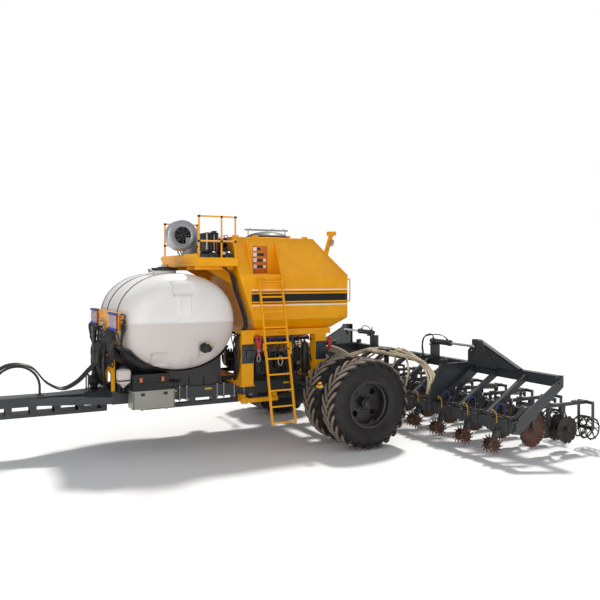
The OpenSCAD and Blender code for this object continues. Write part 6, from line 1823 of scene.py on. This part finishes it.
lid.box((BOX_X[0] - 0.018, BOX_Y[0] - 0.018, 1.47), (BOX_X[1] + 0.018, BOX_Y[0] - 0.01, 1.48), 0.002)
piece("toolbox_lid_ribs", "toolbox_top", black_moulding, lid, ())
latches = Shape()
for x in (BOX_X[0] + 0.13, BOX_X[0] + 0.53):
    latches.box((x - 0.026, BOX_Y[0] - 0.042, 1.372), (x + 0.026, BOX_Y[0] - 0.033, 1.452), 0.004)
    latches.rod((x - 0.028, BOX_Y[0] - 0.036, 1.446), (x + 0.028, BOX_Y[0] - 0.036, 1.446), 0.009)
    latches.box((x - 0.018, BOX_Y[0] - 0.048, 1.378), (x + 0.018, BOX_Y[0] - 0.04, 1.4), 0.003)
piece("toolbox_latches", "toolbox_top", orange_latch, latches)
doors = Shape()
for x in (-3.98, -3.56):
    doors.box((x - 0.034, -1.0695, 1.118), (x + 0.034, -1.064, 1.166), 0.003)
    doors.lathe([(0.0, -1.074), (0.013, -1.074), (0.015, -1.069), (0.0, -1.069)], (x, 0.0, 1.142), "Y",
        16)
doors.box((-4.15, -1.0525, 0.885), (-4.138, -1.049, 1.19), 0.001)
doors.box((-3.402, -1.0525, 0.885), (-3.39, -1.049, 1.19), 0.001)
piece("cabinet_latches", "cabinet_front", black_moulding, doors)
feet = Shape()
for x in (-4.02, -3.9, -3.52):
    feet.rod((x, -0.9, 0.87), (x, -0.9, 0.846), 0.02, 0.016, 14)
piece("cabinet_drain_feet", "chassis", black_moulding, feet)

# %% [markdown]
# ## Posts, clamps and U-bolts
# The hopper's frame stands on four posts. Each is held to the rail by U-bolts with a plate below,
# and each carries a charcoal clamp plate with a block on it.

# %% Posts
POSTS_X, POST_FACE = ((-2.08, -1.83), (-0.46, -0.21)), 1.125
RAIL_FACE, RAIL_Z = 0.675, (0.935, 1.165)
UBOLT_Y, RAIL_MID, SPAN = (RAIL_FACE + 0.012, RAIL_FACE - 0.162), RAIL_FACE - 0.075, 0.105
clamps, ubolts = Shape(), Shape()
for s in (-1, 1):
    for x0, x1 in POSTS_X:
        clamps.box((x0 + 0.006, s * (POST_FACE + 0.006) - 0.006, 1.6),
            (x1 - 0.006, s * (POST_FACE + 0.006) + 0.006, 1.97), 0.004)
        clamps.box((x0 + 0.09, s * (POST_FACE + 0.03) - 0.025, 1.72),
            (x1 + 0.03, s * (POST_FACE + 0.03) + 0.025, 1.85), 0.006)
        clamps.take(bolts([((x, s * (POST_FACE + 0.012), z), (0.0, s, 0.0))
            for x in (x0 + 0.045, x1 - 0.045) for z in (1.64, 1.93)], 0.015))
        for x in (x0 + 0.02, x1 - 0.02):
            for y in UBOLT_Y:
                ubolts.rod((x, s * y, RAIL_Z[0] - 0.04), (x, s * y, RAIL_Z[1] + 0.045), 0.011, sides=10)
                ubolts.take(bolts([((x, s * y, RAIL_Z[0] - 0.02), (0.0, 0.0, -1.0))], 0.015))
            ubolts.box((x - 0.025, s * RAIL_MID - SPAN, RAIL_Z[0] - 0.018),
                (x + 0.025, s * RAIL_MID + SPAN, RAIL_Z[0] - 0.004), 0.002)
for x in (-2.42, -2.28, -3.18, -3.04):
    for s in (-1, 1):
        for y in UBOLT_Y:
            ubolts.rod((x, s * y, RAIL_Z[0] - 0.04), (x, s * y, RAIL_Z[1] + 0.03), 0.01, sides=10)
        ubolts.box((x - 0.022, s * RAIL_MID - SPAN, RAIL_Z[0] - 0.018),
            (x + 0.022, s * RAIL_MID + SPAN, RAIL_Z[0] - 0.004), 0.002)
        ubolts.box((x - 0.022, s * RAIL_MID - SPAN, RAIL_Z[1]),
            (x + 0.022, s * RAIL_MID + SPAN, RAIL_Z[1] + 0.012), 0.002)
piece("post_clamp_plates", "chassis", graphite_paint, clamps, ())
piece("u_bolts", "chassis", zinc, ubolts)

# %% [markdown]
# ## Feet, locks and shackles
# Welded feet close the posts, a step frame hangs under the near side, and the red locks with
# their shackles and a lifting link hang where the ladder folds.

# %% Feet and locks
bases = Shape()
for s in (-1, 1):
    for x0, x1 in POSTS_X:
        bases.box((x0 - 0.02, s * 1.0 - 0.14, 1.15), (x1 + 0.02, s * 1.0 + 0.14, 1.172), 0.004)
bases.box((-1.98, -0.96, 0.8), (-1.22, -0.88, 0.88), 0.006)
bases.box((-1.98, -0.9, 0.8), (-1.9, -0.66, 0.95), 0.006)
bases.box((-1.3, -0.9, 0.8), (-1.22, -0.66, 0.95), 0.006)
bases.box((-2.0, -0.965, 0.785), (-1.88, -0.87, 0.905), 0.006)
piece("post_base_plates", "chassis", yellow_paint, bases, ())
hook = Shape()
for x in (-1.775, -1.695):
    hook.plate([(x - 0.026, 2.02), (x + 0.026, 2.02), (x + 0.03, 2.16), (x - 0.03, 2.16)], -1.165,
        -1.145, edge=0.003)
hook.plate([(-1.79, 2.03), (-1.68, 2.03), (-1.7, 1.88), (-1.71, 1.72), (-1.76, 1.72), (-1.77, 1.88)],
    -1.168, -1.148, edge=0.003)
hook.box((-0.155, -1.15, 1.8), (-0.1, -1.1, 2.06), 0.006)
piece("red_locks", "chassis", red_paint, hook)
shackle = Shape()
shackle.take(pipe([(-1.76, -1.158, 1.74), (-1.765, -1.158, 1.66), (-1.735, -1.158, 1.62),
    (-1.705, -1.158, 1.66), (-1.71, -1.158, 1.74)], 0.01, zinc, 8))
shackle.take(bolts([((-1.735, -1.168, 1.84), (0.0, -1.0, 0.0)),
    ((-1.735, -1.168, 1.76), (0.0, -1.0, 0.0))], 0.016))
link = [(-1.2 + 0.05 * cos(a), -1.02, 1.6 + 0.09 * sin(a))
    for a in (tau * n / 12 for n in range(13))]
shackle.take(pipe(link, 0.016, zinc, 8, 3))
piece("shackles", "chassis", zinc, shackle)

# %% [markdown]
# ## Metering and what fills the frame
# Under the outlet sits the metering box with its drive, and the space between the posts is full:
# a hydraulic block, an accumulator and a ribbed air duct on each side.

# %% Under the hopper
works = Shape()
works.box((-1.54, -0.27, 1.3), (-0.56, 0.27, 1.335), 0.006)
for y in (-0.3, 0.272):
    works.box((-1.46, y, 1.4), (-0.64, y + 0.028, 1.7), 0.01)
works.lathe([(0.0, -0.36), (0.11, -0.36), (0.12, -0.35), (0.12, -0.31), (0.0, -0.31)],
    (-0.85, 0.0, 1.55), "Y", 36)
works.lathe([(0.0, -0.35), (0.06, -0.35), (0.06, -0.31), (0.0, -0.31)], (-1.25, 0.0, 1.5), "Y", 28)
works.box((-1.28, -0.345, 1.585), (-0.83, -0.325, 1.6), 0.003)
works.box((-1.27, -0.345, 1.435), (-0.83, -0.325, 1.45), 0.003)
for x in (-1.34, -0.76):
    works.take(bolts([((x, -0.3, z), (0.0, -1.0, 0.0)) for z in (1.44, 1.55, 1.66)], 0.012))
piece("metering_drive", "chassis", graphite_paint, works)
dark = Shape()
for s in (-1, 1):
    dark.box((-1.7, s * 0.8 - 0.09, 1.32), (-1.4, s * 0.8 + 0.09, 1.62), 0.012)
    for k in range(5):
        dark.lathe([(0.0, 1.62), (0.02, 1.62), (0.024, 1.63), (0.024, 1.67), (0.014, 1.68),
            (0.014, 1.7), (0.0, 1.7)], (-1.67 + 0.06 * k, s * 0.8, 0.0), "Z", 12)
    dark.lathe([(0.0, 1.3), (0.06, 1.3), (0.085, 1.34), (0.085, 1.86), (0.06, 1.92), (0.025, 1.94),
        (0.025, 1.98), (0.0, 1.98)], (-0.58, s * 0.88, 0.0), "Z", 32)
    dark.box((-1.3, s * 0.72 - 0.07, 1.24), (-0.98, s * 0.72 + 0.07, 1.44), 0.01)
    dark.box((-1.78, s * 0.92 - 0.02, 2.0), (-0.5, s * 0.92 + 0.02, 2.05), 0.004)
    dark.lathe([(0.105, -1.72), (0.115, -1.72), (0.115, -0.52), (0.105, -0.52)], (0.0, s * 0.46, 1.4),
        "X", 32)
    for x in [-1.7 + 0.04 * k for k in range(30)]:
        dark.lathe([(0.114, x - 0.007), (0.121, x), (0.114, x + 0.007)], (0.0, s * 0.46, 1.4), "X", 32)
piece("hydraulic_blocks_and_ducts", "chassis", black_moulding, dark)

# %% [markdown]
# ## Loops of hose
# The loops between the posts follow one rule with a different phase each, so that they look laid
# by hand and are the same every time.

# %% Hose loops
loops, blue_loops, pale_loops = Shape(), Shape(), Shape()
for s in (-1, 1):
    for n in range(15):
        x = -1.76 + 0.082 * n
        sway = 0.09 * sin(n * 2.4)
        dip = 0.1 * cos(n * 1.7)
        loops.take(pipe([(x, s * 0.9, 2.03), (x + 0.02, s * 0.93, 1.93),
            (x + sway, s * (0.94 + 0.02 * sin(n)), 1.72 + dip * 0.4),
            (x + sway * 1.6 + 0.06, s * 0.93, 1.46 + dip), (x + 0.1, s * 0.86, 1.3 + dip * 0.3),
            (x + 0.2, s * 0.8, 1.24), (x + 0.36, s * 0.74, 1.21)], 0.012 + 0.004 * (n % 3),
            black_hose, 8, 5))
        if n % 3 == 0:
            loops.take(pipe([(x, s * 0.98, 2.06), (x + 0.15, s * 1.0, 2.02 + dip * 0.3),
                (x + 0.34, s * 0.98, 2.0 - dip * 0.4), (x + 0.5, s * 0.96, 2.07)], 0.011, black_hose,
                8, 5))
    for n in range(4):
        blue_loops.take(pipe([(-1.7 + 0.2 * n, s * 0.99, 2.08),
            (-1.55 + 0.2 * n, s * 1.01, 2.02 + 0.015 * n), (-1.3 + 0.2 * n, s * 1.0, 2.05),
            (-1.0 + 0.15 * n, s * 0.98, 2.09)], 0.007, blue_line, 6, 5))
    for n in range(3):
        pale_loops.take(pipe([(-0.62 + 0.04 * n, s * (0.6 + 0.06 * n), 1.46),
            (-0.3, s * (0.66 + 0.06 * n), 1.62 + 0.05 * n),
            (0.1, s * (0.62 + 0.07 * n), 1.72 + 0.04 * n),
            (0.5, s * (0.6 + 0.07 * n), 1.58 + 0.03 * n), (0.85, s * (0.6 + 0.07 * n), 1.35)],
            0.03, pale_hose, 12, 6))
piece("hose_loops", "chassis", black_hose, loops, ())
piece("blue_air_lines", "chassis", blue_line, blue_loops)
piece("product_ducts_to_toolbar", "chassis", pale_hose, pale_loops)

# %% [markdown]
# ## Hoses on the hopper's front corner
# Lines from the air supply and the tank climb the hopper's front corner, where they show between
# the tank and the hopper.

# %% Corner hoses
corner = Shape()
for s in (-1, 1):
    for n in range(6):
        y = s * (0.9 + 0.035 * n)
        wave = 0.02 * sin(n * 2.2)
        corner.take(pipe([(-2.3 - 0.03 * n, y, 3.47), (-2.22, y, 3.3), (-2.14 + wave, y, 3.0),
            (-2.03 + wave, y + wave, 2.7), (-1.945 + wave, y, 2.42), (-1.96 - wave, y - wave, 2.28),
            (-2.115 + wave, y, 2.1), (-2.125 - wave, y + wave, 1.8), (-2.12 + wave, y, 1.5),
            (-2.13, s * (0.8 + 0.02 * n), 1.26)], 0.011 + 0.003 * (n % 2), black_hose, 8, 5))
piece("front_corner_hoses", "chassis", black_hose, corner, ())

# %% [markdown]
# ## Lamps and reflectors
# Marker lamps stand out over the outer tyres on graphite arms, with an amber dome and a yellow
# reflector on a black body. More yellow reflectors are set along the tongue and the frame.

# %% Lamps
LAMP_X, LAMP_Y = -0.99, 2.286
arms, bodies, domes, reflectors = Shape(), Shape(), Shape(), Shape()
for s in (-1, 1):
    arms.box((LAMP_X - 0.02, s * 1.125 - 0.02, 1.19), (LAMP_X + 0.02, s * 1.125 + 0.02, 2.12), 0.004)
    arms.box((LAMP_X - 0.02, min(s * 1.125, s * 2.33), 1.19),
        (LAMP_X + 0.02, max(s * 1.125, s * 2.33), 1.225), 0.004)
    arms.plate([(s * 1.13, 1.22), (s * 1.45, 1.22), (s * 1.13, 1.5)], LAMP_X - 0.004, LAMP_X + 0.004,
        "X", 0.002)
    arms.take(bolts([((LAMP_X, s * 1.15, z), (0.0, s, 0.0)) for z in (1.3, 1.6, 1.95)], 0.012))
    bodies.box((LAMP_X - 0.045, s * LAMP_Y - 0.055, 1.225),
        (LAMP_X + 0.045, s * LAMP_Y + 0.055, 1.285), 0.008)
    bodies.lathe([(0.0, 1.285), (0.044, 1.285), (0.044, 1.295), (0.0, 1.295)],
        (LAMP_X, s * LAMP_Y, 0.0), "Z", 28)
    domes.lathe([(0.0, 1.295), (0.04, 1.295), (0.04, 1.308), (0.032, 1.322), (0.018, 1.329),
        (0.0, 1.33)], (LAMP_X, s * LAMP_Y, 0.0), "Z", 32)
    reflectors.box((LAMP_X - 0.049, s * LAMP_Y - 0.052, 1.232),
        (LAMP_X - 0.044, s * LAMP_Y + 0.052, 1.278), 0.002)
    reflectors.box((LAMP_X - 0.042, s * (LAMP_Y + 0.056) - 0.002, 1.232),
        (LAMP_X + 0.042, s * (LAMP_Y + 0.056) + 0.002, 1.278), 0.001)
    for x, y in ((-7.2, 0.145), (-6.0, 0.15), (-4.75, 0.15)):
        reflectors.box((x - 0.075, s * y - 0.004, 1.04), (x + 0.075, s * y + 0.004, 1.08), 0.001)
    for x in (-3.3, -2.6, -0.9):
        reflectors.box((x - 0.07, s * 0.677 - 0.002, 1.08), (x + 0.07, s * 0.677 + 0.002, 1.115), 0.001)
piece("marker_lamp_arms", "chassis", graphite_paint, arms, ("marker_lamps",))
piece("marker_lamp_bodies", "chassis", black_moulding, bodies)
piece("amber_lamp_domes", "chassis", amber, domes)
piece("yellow_reflectors", "chassis", yellow_line, reflectors)

# %% [markdown]
# ## Work lamp and tail lamps
# A round work lamp hangs on the mast's bracket, and red lamps sit on the rear beam.

# %% Work lamp
work = Shape().lathe([(0.0, 0.515), (0.045, 0.515), (0.06, 0.53), (0.062, 0.565), (0.057, 0.572),
    (0.054, 0.566), (0.0, 0.562)], (0.0, -0.04, 4.06), "X", 36)
work.box((0.5, -0.1, 3.97), (0.56, 0.02, 3.985), 0.002)
work.box((0.49, -0.105, 3.97), (0.53, -0.098, 4.08), 0.002)
work.take(bolts([((0.44, -0.044, 3.9), (0.0, -1.0, 0.0)), ((0.36, -0.044, 3.6), (0.0, -1.0, 0.0)),
    ((0.3, -0.044, 3.2), (0.0, -1.0, 0.0))], 0.014))
piece("mast_work_lamp", "chassis", zinc, work)
tail = Shape()
for s in (-1, 1):
    tail.box((2.762, s * 1.9 - 0.06, 1.36), (2.778, s * 1.9 + 0.06, 1.44), 0.004)
piece("tail_lamps", "bar_center", red_lens, tail)
